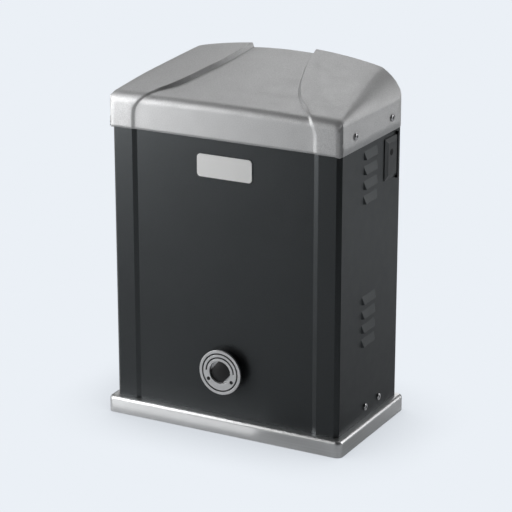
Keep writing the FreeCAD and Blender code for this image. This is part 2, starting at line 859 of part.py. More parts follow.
def release_mark_offsets():
    angle = math.radians(release_mark_angle)
    radius = release_inner_groove
    return [Vector(side * radius * math.cos(angle), 0, -radius * math.sin(angle)) for side in SIDES]


def release_marks():
    """Two small inlays that stand for the locked and released positions."""
    face_y = centre_face_y - release_stand
    start = Vector(0, face_y + face_clearance, output_z)
    return group([rod(start, Y_AXIS, release_mark_radius, release_mark_depth - face_clearance).translated(offset)
                  for offset in release_mark_offsets()])


def bezel_nut():
    start = Vector(0, centre_face_y + sheet, output_z)
    return ring(start, Y_AXIS, release_neck_radius + nut_ring_width, release_neck_radius + thread_clearance,
                nut_ring_thickness)


def rod_front_y():
    return centre_face_y + release_neck_length + 6 * face_clearance + release_throw


def release_plug():
    """A domed turning plug with two flats, on a stem that ends in a slanted cam face."""
    face_y = centre_face_y - release_stand
    front = face_y + plug_recess
    floor = face_y + release_well_depth - face_clearance
    crown = Vector(0, front, output_z)
    edge = Vector(plug_radius, front + plug_dome, output_z)
    back_edge = Vector(plug_radius, floor, output_z)
    back_middle = Vector(0, floor, output_z)
    sphere_radius = (plug_radius ** 2 + plug_dome ** 2) / (2 * plug_dome)
    half_angle = math.asin(plug_radius / sphere_radius) / 2
    between = Vector(sphere_radius * math.sin(half_angle),
                     front + sphere_radius * (1 - math.cos(half_angle)), output_z)
    outline = Part.Wire([Part.Arc(crown, between, edge).toShape(), Part.makeLine(edge, back_edge),
                         Part.makeLine(back_edge, back_middle), Part.makeLine(back_middle, crown)])
    body = Part.Face(outline).revolve(crown, Y_AXIS, 360)
    half = plug_flat_half_width
    flats = box(-half, half, front - 1, floor + 1, output_z - 2 * plug_radius, output_z + 2 * plug_radius)
    body = body.common(turned(flats, Vector(0, 0, output_z), Y_AXIS, plug_flat_angle))
    stem_end = rod_front_y() - release_throw - face_clearance
    stem = rod(Vector(0, floor - 1, output_z), Y_AXIS, plug_stem_radius, stem_end - floor + 1)
    return joined([body, stem])


# Output shaft, clutch and pinion

def cavity_rear_y():
    return wheel_width / 2 + wheel_side_gap


def wheel_front_y():
    return -wheel_width / 2


def output_shaft():
    start_y = housing_front_y - cover_thickness - part_clearance
    main = rod(Vector(0, start_y, output_z), Y_AXIS, shaft_radius, half_depth + 2 - start_y)
    nose = rod(Vector(0, half_depth + 2, output_z), Y_AXIS, shaft_pinion_radius, pinion_end_y - half_depth - 2)
    shaft = joined([main, nose])
    bore_end = wheel_front_y() - 2
    bore = rod(Vector(0, start_y - 1, output_z), Y_AXIS, rod_radius + running_clearance, bore_end - start_y + 1)
    pin_slot = box(-cross_pin_radius - part_clearance, cross_pin_radius + part_clearance,
                   bore_end - clutch_length / 2 - cross_pin_radius - release_throw - part_clearance,
                   bore_end - clutch_length / 2 + cross_pin_radius + part_clearance,
                   output_z - shaft_radius - 1, output_z + shaft_radius + 1)
    key_seat = key_block(part_clearance / 5)
    tapped = rod(Vector(0, pinion_end_y + 1, output_z), Vector(0, -1, 0), pinion_screw_radius + thread_clearance,
                 pinion_screw_grip + thread_end_gap + 1)
    return shaft.cut(bore).cut(pin_slot).cut(key_seat).cut(tapped)


def key_block(grow):
    z0 = output_z + shaft_pinion_radius - key_height / 2
    length = pinion_width * 0.8
    y0 = pinion_start_y + (pinion_width - length) / 2
    return box(-key_width / 2 - grow, key_width / 2 + grow, y0 - grow, y0 + length + grow,
               z0 - grow, z0 + key_height)


def pinion_key():
    return key_block(0)


def worm_wheel():
    """A bronze wheel whose teeth slant to the worm's lead, with dog slots in its front face."""
    lead_slope = worm_pitch / (2 * math.pi * worm_pitch_radius)
    twist = math.degrees(lead_slope * wheel_width / 2 / wheel_radius)
    tooth = worm_pitch / 2 - tooth_backlash
    addendum = gear_module - tooth_tip_gap
    outlines = []
    for side in SIDES:
        points = gear_outline(wheel_teeth, gear_module, tooth, addendum, gear_module * 1.2, -side * twist)
        y = side * wheel_width / 2
        corners = [Vector(x, y, output_z + z) for x, z in points]
        outlines.append(Part.makePolygon(corners + [corners[0]]))
    wheel = Part.makeLoft(outlines, True, True)
    if wheel.Volume < 0:
        wheel.reverse()
    bore = rod(Vector(0, -wheel_width, output_z), Y_AXIS, shaft_radius + wheel_bore_clearance, 2 * wheel_width)
    return wheel.cut(bore).cut(dog_blocks(part_clearance, wheel_front_y() - 1, dog_depth + 1 + part_clearance))


def dog_blocks(grow, y0, length):
    blocks = []
    for i in range(dog_count):
        block = box(shaft_radius + 2 - grow, clutch_radius + grow, y0, y0 + length,
                    output_z - dog_width / 2 - grow, output_z + dog_width / 2 + grow)
        blocks.append(turned(block, Vector(0, 0, output_z), Y_AXIS, 360 * i / dog_count))
    return group(blocks)


def clutch_sleeve():
    """The sliding dog clutch: engaged at rest, drawn forward by the release throw."""
    end_y = wheel_front_y() - face_clearance
    sleeve = ring(Vector(0, end_y - clutch_length, output_z), Y_AXIS, clutch_radius,
                  shaft_radius + running_clearance, clutch_length)
    dogs = [solid for solid in dog_blocks(0, end_y - 1, dog_depth + 1).Solids]
    sleeve = joined([sleeve] + dogs)
    pin_hole = rod(Vector(0, cross_pin_y(), output_z - clutch_radius - 1), Z_AXIS,
                   cross_pin_radius, 2 * clutch_radius + 2)
    return sleeve.cut(pin_hole)


def cross_pin_y():
    return wheel_front_y() - 2 - clutch_length / 2


def release_rod():
    front = rod_front_y()
    length = wheel_front_y() - 2 - part_clearance - front
    pull = rod(Vector(0, front, output_z), Y_AXIS, rod_radius, length)
    pin = rod(Vector(0, cross_pin_y(), output_z - clutch_radius), Z_AXIS, cross_pin_radius, 2 * clutch_radius)
    return joined([pull, pin])


def drive_pinion():
    tooth = math.pi * pinion_module / 2 - 0.1
    points = gear_outline(pinion_teeth, pinion_module, tooth, pinion_module, pinion_module * 1.25, 0)
    corners = [Vector(x, pinion_start_y, output_z + z) for x, z in points]
    gear = Part.Face(Part.makePolygon(corners + [corners[0]])).extrude(Vector(0, pinion_width, 0))
    bore = rod(Vector(0, pinion_start_y - 1, output_z), Y_AXIS, shaft_pinion_radius + thread_clearance,
               pinion_width + 2)
    return gear.cut(bore).cut(key_block(part_clearance / 5))


def pinion_screw():
    washer = rod(Vector(0, pinion_end_y, output_z), Y_AXIS, pinion_washer_radius, pinion_washer_thickness)
    screw = hex_screw(Vector(0, pinion_end_y + pinion_washer_thickness, output_z), Y_AXIS, pinion_screw_head,
                      pinion_screw_radius, pinion_washer_thickness + pinion_screw_grip)
    return joined([washer, screw])


# Gear housing

def bearing_outer():
    return shaft_radius + 3 * bearing_ring


def worm_bearing_outer():
    return motor_shaft_radius + 3 * bearing_ring


def wheel_chamber_radius():
    return wheel_radius + gear_module + wheel_side_gap


def worm_chamber_radius():
    return worm_pitch_radius + gear_module + wheel_side_gap


def worm_low_z():
    return output_z - worm_length / 2


def worm_high_z():
    return output_z + worm_length / 2


def gear_housing():
    """A cast box: wheel chamber open to the front, upright worm bore, feet and a round motor flange."""
    depth = housing_rear_y - housing_front_y
    drum = rod(Vector(0, housing_front_y, output_z), Y_AXIS, wheel_chamber_radius() + housing_wall, depth)
    tower_radius = worm_chamber_radius() + housing_wall
    tower = rod(Vector(worm_x, 0, base_height), Z_AXIS, tower_radius, housing_top_z - base_height)
    flange = rod(Vector(worm_x, 0, housing_top_z - motor_flange_thickness), Z_AXIS, motor_radius,
                 motor_flange_thickness)
    feet_x = [x for x, y in foot_places()]
    reach = housing_rear_y + housing_foot_margin
    foot = box(min(feet_x) - spacer_radius, max(feet_x) + spacer_radius, -reach, reach,
               base_height, base_height + housing_foot_height)
    drum_low = box(-wheel_chamber_radius(), wheel_chamber_radius(), housing_front_y, housing_rear_y,
                   base_height, output_z)
    housing = joined([drum, tower, flange, foot, drum_low])
    chamber = rod(Vector(0, housing_front_y - 1, output_z), Y_AXIS, wheel_chamber_radius(),
                  cavity_rear_y() - housing_front_y + 1)
    worm_bore = rod(Vector(worm_x, 0, worm_low_z() - 2), Z_AXIS, worm_chamber_radius(),
                    worm_high_z() - worm_low_z() + 4)
    rear_seat = rod(Vector(0, cavity_rear_y() - 1, output_z), Y_AXIS, bearing_outer(), bearing_width + 1)
    rear_bore = rod(Vector(0, cavity_rear_y(), output_z), Y_AXIS, shaft_radius + bearing_ring + 2, depth)
    low_seat = rod(Vector(worm_x, 0, worm_low_z() - 2 - bearing_width), Z_AXIS, worm_bearing_outer(),
                   bearing_width + 3)
    high_seat = rod(Vector(worm_x, 0, worm_high_z() + 1), Z_AXIS, worm_bearing_outer(), bearing_width + 1)
    shaft_way = rod(Vector(worm_x, 0, worm_high_z()), Z_AXIS, motor_shaft_radius + bearing_ring,
                    housing_top_z)
    for cutter in (chamber, worm_bore, rear_seat, rear_bore, low_seat, high_seat, shaft_way):
        housing = housing.cut(cutter)
    for x, y in foot_places():
        housing = housing.cut(rod(Vector(x, y, base_height - 1), Z_AXIS, foot_bolt_radius + screw_hole_clearance,
                                  housing_foot_height + foot_spanner_room))
    for x, z in cover_screw_places():
        housing = housing.cut(rod(Vector(x, housing_front_y - 1, z), Y_AXIS, cover_screw_radius + thread_clearance,
                                  cover_screw_grip + thread_end_gap + 1))
    for x, y in motor_bolt_places():
        housing = housing.cut(rod(Vector(x, y, housing_top_z - motor_flange_thickness - 1), Z_AXIS,
                                  cover_screw_radius + thread_clearance, motor_flange_thickness + 2))
    fill, level, drain = plug_places()
    for place in (fill, level, drain):
        housing = housing.cut(rod(place, X_AXIS, foot_bolt_radius + thread_clearance, housing_wall + 12))
    return housing.removeSplitter()


def cover_screw_places():
    radius = wheel_chamber_radius() + housing_wall / 2
    angles = [math.radians(cover_screw_start + 360 * i / cover_screw_count) for i in range(cover_screw_count)]
    return [(radius * math.cos(angle), output_z + radius * math.sin(angle)) for angle in angles]


def motor_bolt_places():
    radius = motor_radius - motor_bolt_inset
    angles = [math.radians(angle) for angle in motor_bolt_angles]
    return [(worm_x + radius * math.cos(angle), radius * math.sin(angle)) for angle in angles]


def plug_places():
    """Starts of the oil plugs on the left of the housing: filler, level glass and drain."""
    left = -(wheel_chamber_radius() + housing_wall) - 1
    return [Vector(left, housing_rear_y / 2, output_z + rise) for rise in (oil_plug_spacing, 0, -oil_plug_spacing)]


def gearbox_cover():
    start = Vector(0, housing_front_y - cover_thickness, output_z)
    cover = rod(start, Y_AXIS, wheel_chamber_radius() + housing_wall, cover_thickness)
    spigot = ring(Vector(0, housing_front_y, output_z), Y_AXIS, wheel_chamber_radius() - running_clearance,
                  bearing_outer(), 3)
    cover = cover.fuse(spigot)
    seat = rod(start, Y_AXIS, bearing_outer(), cover_thickness + 4)
    lip = ring(start, Y_AXIS, bearing_outer(), shaft_radius + bearing_ring, 2)
    cover = cover.cut(seat).fuse(lip)
    for x, z in cover_screw_places():
        cover = cover.cut(rod(Vector(x, start.y - 1, z), Y_AXIS, cover_screw_radius + screw_hole_clearance,
                              cover_thickness + 2))
    return cover.removeSplitter()


def cover_screws():
    y = housing_front_y - cover_thickness
    return group([hex_screw(Vector(x, y, z), Vector(0, -1, 0), cover_screw_head, cover_screw_radius,
                            cover_thickness + cover_screw_grip)
                  for x, z in cover_screw_places()])


def foot_bolts():
    z = base_height + housing_foot_height
    return group([hex_screw(Vector(x, y, z), Z_AXIS, foot_bolt_head, foot_bolt_radius, z - 2)
                  for x, y in foot_places()])


def ball_bearing(start, direction, inner, outer, width):
    """Two rings and a row of balls, as separate solids."""
    rim = (outer - inner) * 0.28
    balls = []
    middle = (inner + outer) / 2
    ball_radius = (outer - inner) / 2 - rim
    centre = start + direction * (width / 2)
    side = Z_AXIS if abs(direction.z) < 0.5 else X_AXIS
    for i in range(bearing_ball_count):
        ball = Part.makeSphere(ball_radius, centre + side * middle)
        balls.append(turned(ball, centre, direction, 360 * i / bearing_ball_count))
    rings = [ring(start, direction, outer, outer - rim, width), ring(start, direction, inner + rim, inner, width)]
    return rings + balls


def output_bearings():
    front = Vector(0, housing_front_y - cover_thickness + 2, output_z)
    rear = Vector(0, cavity_rear_y(), output_z)
    solids = []
    for start in (front, rear):
        solids += ball_bearing(start, Y_AXIS, shaft_radius + running_clearance, bearing_outer(), bearing_width)
    return group(solids)


def oil_seal():
    start = Vector(0, housing_rear_y - seal_width, output_z)
    return ring(start, Y_AXIS, shaft_radius + bearing_ring + 2, shaft_radius + running_clearance, seal_width)


def oil_plugs():
    fill, level, drain = plug_places()
    plugs = []
    for place in (fill, drain):
        start = Vector(place.x + 1, place.y, place.z)
        plugs.append(hex_screw(start, Vector(-1, 0, 0), oil_plug_head, foot_bolt_radius, oil_plug_length))
    return group(plugs)


def sight_glass():
    fill, level, drain = plug_places()
    start = Vector(level.x + 1, level.y, level.z)
    flange = rod(start, Vector(-1, 0, 0), foot_bolt_radius * 1.6, 3)
    return joined([flange, rod(start, X_AXIS, foot_bolt_radius, oil_plug_length)])


# Motor

def motor_low_z():
    return housing_top_z


def motor_high_z():
    return motor_low_z() + motor_length


def stator_low_z():
    return motor_low_z() + (motor_length - stator_length) / 2


def worm_shaft():
    """The worm cut on the motor's own shaft."""
    root = worm_pitch_radius - gear_module * 1.2
    low = worm_low_z() - 2 - bearing_width
    top = motor_high_z() + end_shield_thickness + fan_gap + fan_height
    core = rod(Vector(worm_x, 0, low), Z_AXIS, motor_shaft_radius, top - low)
    body = rod(Vector(worm_x, 0, worm_low_z()), Z_AXIS, root, worm_length)
    return joined([core, body, worm_thread(root)])


def worm_thread(root):
    tooth = worm_pitch / 2 - tooth_backlash
    flank = math.tan(math.radians(20))
    tip = worm_pitch_radius + gear_module - tooth_tip_gap
    turns = 5
    start_z = output_z - worm_pitch / 2 - (turns / 2 - 0.5) * worm_pitch
    helix = Part.makeHelix(worm_pitch, turns * worm_pitch, root)
    half_root = tooth / 2 + (worm_pitch_radius - root) * flank
    half_tip = tooth / 2 - (tip - worm_pitch_radius) * flank
    sunk = root - 1
    corners = [Vector(sunk, 0, -half_root), Vector(tip, 0, -half_tip), Vector(tip, 0, half_tip),
               Vector(sunk, 0, half_root)]
    profile = Part.makePolygon(corners + [corners[0]])
    thread = Part.Wire(helix.Edges).makePipeShell([profile], True, True)
    if thread.Volume < 0:
        thread.reverse()
    return moved(thread, Vector(worm_x, 0, start_z))


def worm_bearings():
    solids = []
    for z in (worm_low_z() - 2 - bearing_width, worm_high_z() + 2):
        solids += ball_bearing(Vector(worm_x, 0, z), Z_AXIS, motor_shaft_radius + running_clearance,
                               worm_bearing_outer(), bearing_width)
    return group(solids)


def motor_bearing():
    z = motor_high_z()
    return group(ball_bearing(Vector(worm_x, 0, z), Z_AXIS, motor_shaft_radius + running_clearance,
                              worm_bearing_outer(), end_shield_thickness - 2))


def rotor_core():
    start = Vector(worm_x, 0, stator_low_z())
    return ring(start, Z_AXIS, stator_inner_radius - air_gap, motor_shaft_radius, stator_length)


def stator_core():
    start = Vector(worm_x, 0, stator_low_z())
    return ring(start, Z_AXIS, motor_radius - motor_shell, stator_inner_radius, stator_length)


def motor_windings():
    outer = motor_radius - motor_shell - 5
    inner = stator_inner_radius + 3
    low = stator_low_z() - winding_length
    high = stator_low_z() + stator_length
    coils = []
    for z in (low, high):
        coil = ring(Vector(worm_x, 0, z), Z_AXIS, outer, inner, winding_length)
        coils.append(coil.makeFillet(winding_length / 4, [edge for edge in coil.Edges if len(edge.Vertexes) == 1]))
    return group(coils)


def motor_housing():
    """A finned shell that stands on the gear housing's flange."""
    low = motor_low_z()
    shell = ring(Vector(worm_x, 0, low), Z_AXIS, motor_radius, motor_radius - motor_shell, motor_length)
    fins = []
    for i in range(motor_fin_count):
        fin = box(motor_radius - 1, motor_radius + motor_fin_height, -motor_fin_width / 2, motor_fin_width / 2,
                  low + 14, low + motor_length - 14)
        fins.append(moved(turned(fin, Vector(0, 0, 0), Z_AXIS, 360 * (i + 0.5) / motor_fin_count),
                          Vector(worm_x, 0, 0)))
    shell = joined([shell] + fins)
    pad = ring(Vector(worm_x, 0, low), Z_AXIS, motor_radius - motor_shell, motor_radius - 16, 8)
    shell = joined([shell, pad])
    for x, y in motor_bolt_places():
        shell = shell.cut(rod(Vector(x, y, low - 1), Z_AXIS, cover_screw_radius + thread_clearance,
                              motor_bolt_grip + thread_end_gap))
    return shell


def motor_bolts():
    z = housing_top_z - motor_flange_thickness
    return group([hex_screw(Vector(x, y, z), Vector(0, 0, -1), cover_screw_head, cover_screw_radius,
                            motor_flange_thickness + motor_bolt_grip)
                  for x, y in motor_bolt_places()])


def motor_end_shield():
    z = motor_high_z()
    shield = rod(Vector(worm_x, 0, z), Z_AXIS, motor_radius, end_shield_thickness)
    spigot = ring(Vector(worm_x, 0, z - 4), Z_AXIS, motor_radius - motor_shell - running_clearance,
                  motor_radius - 2 * motor_shell, 4)
    seat = rod(Vector(worm_x, 0, z - 1), Z_AXIS, worm_bearing_outer(), end_shield_thickness - 1)
    way = rod(Vector(worm_x, 0, z - 1), Z_AXIS, motor_shaft_radius + 2, end_shield_thickness + 2)
    return joined([shield, spigot]).cut(seat).cut(way)


def cooling_fan():
    low = motor_high_z() + end_shield_thickness + fan_gap
    hub = ring(Vector(worm_x, 0, low), Z_AXIS, motor_shaft_radius + 7, motor_shaft_radius, fan_height)
    disc = ring(Vector(worm_x, 0, low), Z_AXIS, fan_radius, motor_shaft_radius, 2)
    blades = []
    for i in range(fan_blades):
        blade = box(motor_shaft_radius + 5, fan_radius - 1, -1.2, 1.2, low + 1, low + fan_height)
        blades.append(moved(turned(blade, Vector(0, 0, 0), Z_AXIS, 360 * i / fan_blades), Vector(worm_x, 0, 0)))
    return joined([hub, disc] + blades)


def fan_cowl():
    """A pressed cowl with a ring of air slots in its top."""
    low = motor_high_z() + end_shield_thickness
    cowl = ring(Vector(worm_x, 0, low), Z_AXIS, motor_radius, motor_radius - cowl_wall, cowl_height)
    top = rod(Vector(worm_x, 0, low + cowl_height), Z_AXIS, motor_radius, cowl_wall)
    cowl = joined([cowl, top])
    slots = 12
    for i in range(slots):
        cut = box(motor_shaft_radius + 10, motor_radius - 12, -3, 3, low + cowl_height - 1,
                  low + cowl_height + cowl_wall + 1)
        cowl = cowl.cut(moved(turned(cut, Vector(0, 0, 0), Z_AXIS, 360 * i / slots), Vector(worm_x, 0, 0)))
    return cowl


# Electrics

def rail_x():
    return -half_width + sheet + electrics_left_gap + box_width


def electronics_rail():
    """A folded upright sheet that carries the control box and the parts below it."""
    x = rail_x()
    top = box_base_z + box_height
    upright = box(x, x + sheet, -box_depth / 2, box_depth / 2, base_height, top)
    foot = box(x - rail_foot, x, 24, box_depth / 2, base_height, base_height + sheet)
    foot_front = box(x - rail_foot, x, -box_depth / 2, -24, base_height, base_height + sheet)
    return joined([upright, foot, foot_front])


def control_box():
    x1 = rail_x()
    x0 = x1 - box_width
    y = box_depth / 2
    outer = box(x0, x1, -y, y, box_base_z, box_base_z + box_height)
    inner = box(x0 - 1, x1 - box_wall, -y + box_wall, y - box_wall, box_base_z + box_wall,
                box_base_z + box_height - box_wall)
    return outer.cut(inner)


def control_box_cover():
    x0 = rail_x() - box_width
    y = box_depth / 2
    plate = box(x0 - box_wall, x0, -y, y, box_base_z, box_base_z + box_height)
    grow = box_wall + part_clearance
    rim = box(x0, x0 + 4, -y + grow, y - grow, box_base_z + grow, box_base_z + box_height - grow)
    hollow = box(x0 - 1, x0 + 5, -y + 2 * grow, y - 2 * grow, box_base_z + 2 * grow,
                 box_base_z + box_height - 2 * grow)
    return plate.fuse(rim.cut(hollow.common(rim))).removeSplitter()


def board_face_x():
    return rail_x() - box_wall - board_stand - board_thickness


def board_reach():
    return box_depth / 2 - box_wall - board_edge_gap


def board_z_range():
    margin = box_wall + board_edge_gap
    return box_base_z + margin, box_base_z + box_height - margin


def control_board():
    x = board_face_x()
    reach = board_reach()
    low, high = board_z_range()
    board = box(x, x + board_thickness, -reach, reach, low, high)
    stands = [rod(Vector(x + board_thickness, side * (reach - board_screw_inset), z), X_AXIS,
                  board_screw_inset / 2, board_stand)
              for side in SIDES for z in (low + board_screw_inset, high - board_screw_inset)]
    return joined([board] + stands)


def row_places(count, gap):
    """Start and end of each of count equal pieces in a row across the board."""
    pitch = (2 * board_reach() - gap) / count
    return [(-board_reach() + gap + pitch * i, -board_reach() + pitch * (i + 1)) for i in range(count)]


def board_relays():
    x = board_face_x()
    top = board_z_range()[1] - relay_top_gap
    return group([box(x - relay_depth, x, y0, y1, top - relay_height, top)
                  for y0, y1 in row_places(relay_count, relay_gap)])


def terminal_blocks():
    x = board_face_x()
    low = board_z_range()[0] + terminal_low_gap
    blocks = []
    for y0, y1 in row_places(terminal_count, terminal_gap):
        block = box(x - terminal_depth, x, y0, y1, low, low + terminal_height)
        screw = rod(Vector(x - terminal_depth - 1, (y0 + y1) / 2, low + terminal_height / 2), X_AXIS,
                    terminal_screw_radius, terminal_screw_depth + 1)
        blocks.append(block.cut(screw))
    return group(blocks)


def transformer():
    """A square core with a coil on its middle limb, screwed to the rail."""
    x1 = rail_x()
    x0 = x1 - transformer_size * transformer_depth_share
    height = transformer_size * transformer_height_share
    z0 = box_base_z - transformer_gap - height
    half = transformer_size / 2
    coil_half = half * coil_width_share
    coil_low = z0 + transformer_size * coil_low_share
    coil_high = z0 + transformer_size * coil_high_share
    core = box(x0, x1, -half, half, z0, z0 + height)
    window = box(x0 - 1, x1 + 1, -coil_half, coil_half, coil_low, coil_high)
    coil = box(x0 - coil_stand, x1, -coil_half, coil_half, coil_low, coil_high)
    return group([core.cut(window), coil])


def run_capacitor():
    x = rail_x() - capacitor_radius
    y = -box_depth / 2 + capacitor_radius
    z0 = body_bottom + capacitor_rise
    can = rod(Vector(x, y, z0), Z_AXIS, capacitor_radius, capacitor_length)
    cap = rod(Vector(x, y, z0 + capacitor_length), Z_AXIS, capacitor_radius - 2, 4)
    terminals = [box(x - 1 + 8 * side, x + 1 + 8 * side, y - 3, y + 3, z0 + capacitor_length + 4,
                     z0 + capacitor_length + 14) for side in SIDES]
    return joined([can, cap] + terminals)


# Limit switch

def limit_z():
    return output_z + limit_rise


def limit_switch_housing():
    low = limit_z() - limit_height / 2
    outer = box(-limit_width / 2, limit_width / 2, half_depth, half_depth + limit_depth, low, low + limit_height)
    edges = [edge for edge in outer.Edges if edge.BoundBox.YLength > 1]
    outer = outer.makeFillet(3, edges)
    inner = box(-limit_width / 2 + limit_wall, limit_width / 2 - limit_wall, half_depth - 1,
                half_depth + limit_depth - limit_wall, low + limit_wall, low + limit_height - limit_wall)
    bore = rod(Vector(0, half_depth + limit_depth - limit_wall - 1, limit_z()), Y_AXIS,
               limit_stem_radius + running_clearance, limit_wall + 2)
    return outer.cut(inner).cut(bore)


def limit_switches():
    y0 = half_depth
    z = limit_z()
    return group([box(side * 13 - 5, side * 13 + 5, y0, y0 + 12, z - 10, z + 10) for side in SIDES])


def limit_lever():
    """A stem through the switch housing, with a sprung rod hanging down in the way of the gate's end stops."""
    face_y = half_depth + limit_depth
    z = limit_z()
    stem = rod(Vector(0, half_depth + 4, z), Y_AXIS, limit_stem_radius, limit_depth)
    cam = box(-6, 6, half_depth + 5, half_depth + 11, z - limit_stem_radius, z + limit_stem_radius)
    head = rod(Vector(0, face_y + 1, z), Y_AXIS, limit_stem_radius + 4, 2 * (limit_rod_stand - 1))
    rod_y = face_y + limit_rod_stand
    finger = rod(Vector(0, rod_y, z - limit_rod_length), Z_AXIS, limit_rod_radius, limit_rod_length)
    return joined([stem, cam, head, finger])


def limit_spring():
    z = limit_z() - limit_stem_radius - 4
    y = half_depth + limit_depth + limit_rod_stand
    length = limit_rod_length * 0.6
    pitch = length / limit_coil_turns
    helix = Part.makeHelix(pitch, length, limit_coil_radius)
    circle = Part.Circle(Vector(limit_coil_radius, 0, 0), Y_AXIS, limit_coil_wire).toShape()
    coil = Part.Wire(helix.Edges).makePipeShell([Part.Wire([circle])], True, True)
    if coil.Volume < 0:
        coil.reverse()
    return moved(coil, Vector(0, y, z - length - 2))


# Access flap

def access_flap():
    """A bevelled plate that swings on a pin along its rear edge."""
    y0 = flap_centre_y - flap_depth / 2
    y1 = flap_axis_y
    z0 = flap_centre_z - flap_height / 2
    z1 = flap_centre_z + flap_height / 2
    x0 = flap_back_x
    plate = box(x0, x0 + flap_edge, y0, y1, z0, z1)

    def rectangle(x, inset, rear):
        corners = [Vector(x, y0 + inset, z0 + inset), Vector(x, rear, z0 + inset),
                   Vector(x, rear, z1 - inset), Vector(x, y0 + inset, z1 - inset)]
        return Part.makePolygon(corners + [corners[0]])

    raised = Part.makeLoft([rectangle(x0 + flap_edge, 0, y1),
                            rectangle(x0 + flap_thickness, flap_bevel, y1 - flap_bevel)], True, True)
    knuckle = rod(Vector(flap_axis_x, flap_axis_y, z0), Z_AXIS, flap_knuckle_radius, flap_height)
    flap = joined([plate, raised, knuckle])
    pin_bore = rod(Vector(flap_axis_x, flap_axis_y, z0 - 1), Z_AXIS, flap_pin_radius + flap_pin_running,
                   flap_height + 2)
    lock_bore = rod(Vector(x0 - 1, lock_y, lock_z), X_AXIS, lock_radius + running_clearance, flap_thickness + 2)
    return flap.cut(pin_bore).cut(lock_bore)


def flap_hinge_pin():
    """The pin and the two lugs on the cabinet side that hold it."""
    z0 = flap_centre_z - flap_height / 2 - flap_end_gap - flap_lug_height
    z1 = flap_centre_z + flap_height / 2 + flap_end_gap
    half = flap_knuckle_radius
    lugs = [box(half_width, flap_axis_x + half, flap_axis_y - half, flap_axis_y + half, z, z + flap_lug_height)
            for z in (z0, z1)]
    pin = rod(Vector(flap_axis_x, flap_axis_y, z0), Z_AXIS, flap_pin_radius, z1 + flap_lug_height - z0)
    return joined(lugs + [pin])


def flap_lock():
    """The lock's barrel with its key slot and the tongue behind the flap, shown unlocked."""
    face_x = flap_back_x + flap_thickness + face_clearance
    barrel = rod(Vector(face_x, lock_y, lock_z), Vector(-1, 0, 0), lock_radius, lock_depth)
    key = box(face_x - 6, face_x + 1, lock_y - lock_key_width / 2, lock_y + lock_key_width / 2,
              lock_z - lock_key_height / 2, lock_z + lock_key_height / 2)
    tongue_x = face_x - lock_depth
    tongue = box(tongue_x - lock_tongue_thickness, tongue_x, lock_y - lock_tongue_width / 2,
                 lock_y + lock_tongue_width / 2, lock_z - lock_tongue_length, lock_z + lock_tongue_width / 2)
    return joined([barrel.cut(key), tongue])


PIECES = {
    "base_tray": base_tray,
    "mounting_plate": mounting_plate,
    "base_spacers": base_spacers,
    "levelling_screws": levelling_screws,
    "cable_grommet": cable_grommet,
    "base_brackets": base_brackets,
    "frame_uprights": frame_uprights,
    "front_panel": front_panel,
    "left_panel": left_panel,
    "right_panel": right_panel,
    "rear_panel": rear_panel,
    "cabinet_screws": cabinet_screws,
    "lid": lid,
    "lid_nuts": lid_nuts,
    "badge_plate": badge_plate,
    "release_bezel": release_bezel,
    "release_marks": release_marks,
    "bezel_nut": bezel_nut,
    "release_plug": release_plug,
    "clutch_sleeve": clutch_sleeve,
    "release_rod": release_rod,
    "output_shaft": output_shaft,
    "worm_wheel": worm_wheel,
    "drive_pinion": drive_pinion,
    "pinion_key": pinion_key,
    "pinion_screw": pinion_screw,
    "output_bearings": output_bearings,
    "oil_seal": oil_seal,
    "gear_housing": gear_housing,
    "gearbox_cover": gearbox_cover,
    "cover_screws": cover_screws,
    "foot_bolts": foot_bolts,
    "oil_plugs": oil_plugs,
    "sight_glass": sight_glass,
    "worm_shaft": worm_shaft,
    "worm_bearings": worm_bearings,
    "rotor_core": rotor_core,
    "stator_core": stator_core,
    "motor_windings": motor_windings,
    "motor_housing": motor_housing,
    "motor_bolts": motor_bolts,
    "motor_end_shield": motor_end_shield,
    "motor_bearing": motor_bearing,
    "cooling_fan": cooling_fan,
    "fan_cowl": fan_cowl,
    "electronics_rail": electronics_rail,
    "control_box": control_box,
    "control_box_cover": control_box_cover,
    "control_board": control_board,
    "board_relays": board_relays,
    "terminal_blocks": terminal_blocks,
    "transformer": transformer,
    "run_capacitor": run_capacitor,
    "limit_switch_housing": limit_switch_housing,
    "limit_switches": limit_switches,
    "limit_lever": limit_lever,
    "limit_spring": limit_spring,
    "access_flap": access_flap,
    "flap_hinge_pin": flap_hinge_pin,
    "flap_lock": flap_lock,
}

os.makedirs("parts", exist_ok=True)
for node, make in PIECES.items():
    make().exportStep(os.path.join("parts", node + ".step"))
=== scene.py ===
"""Looks of the sliding gate motor: materials, the formed lid, studio floor, lights and camera."""

import math

import bmesh
import bpy
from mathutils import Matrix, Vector

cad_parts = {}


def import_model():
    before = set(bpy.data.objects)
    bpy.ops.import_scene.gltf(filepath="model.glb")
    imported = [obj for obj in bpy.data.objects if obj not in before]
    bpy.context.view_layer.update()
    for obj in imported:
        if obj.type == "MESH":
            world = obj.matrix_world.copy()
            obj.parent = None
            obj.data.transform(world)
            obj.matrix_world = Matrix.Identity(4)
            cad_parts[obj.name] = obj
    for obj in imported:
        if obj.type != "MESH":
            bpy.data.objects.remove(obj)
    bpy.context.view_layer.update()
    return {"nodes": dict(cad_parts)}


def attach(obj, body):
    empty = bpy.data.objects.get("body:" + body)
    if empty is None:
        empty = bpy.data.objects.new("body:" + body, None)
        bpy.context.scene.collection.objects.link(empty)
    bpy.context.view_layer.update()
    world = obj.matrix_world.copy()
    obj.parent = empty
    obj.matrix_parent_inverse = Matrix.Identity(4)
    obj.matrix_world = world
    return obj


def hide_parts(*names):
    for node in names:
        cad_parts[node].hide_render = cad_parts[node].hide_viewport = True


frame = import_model()
nodes = frame["nodes"]
MM = 0.001


# Materials

BEVEL_SAMPLES = 6
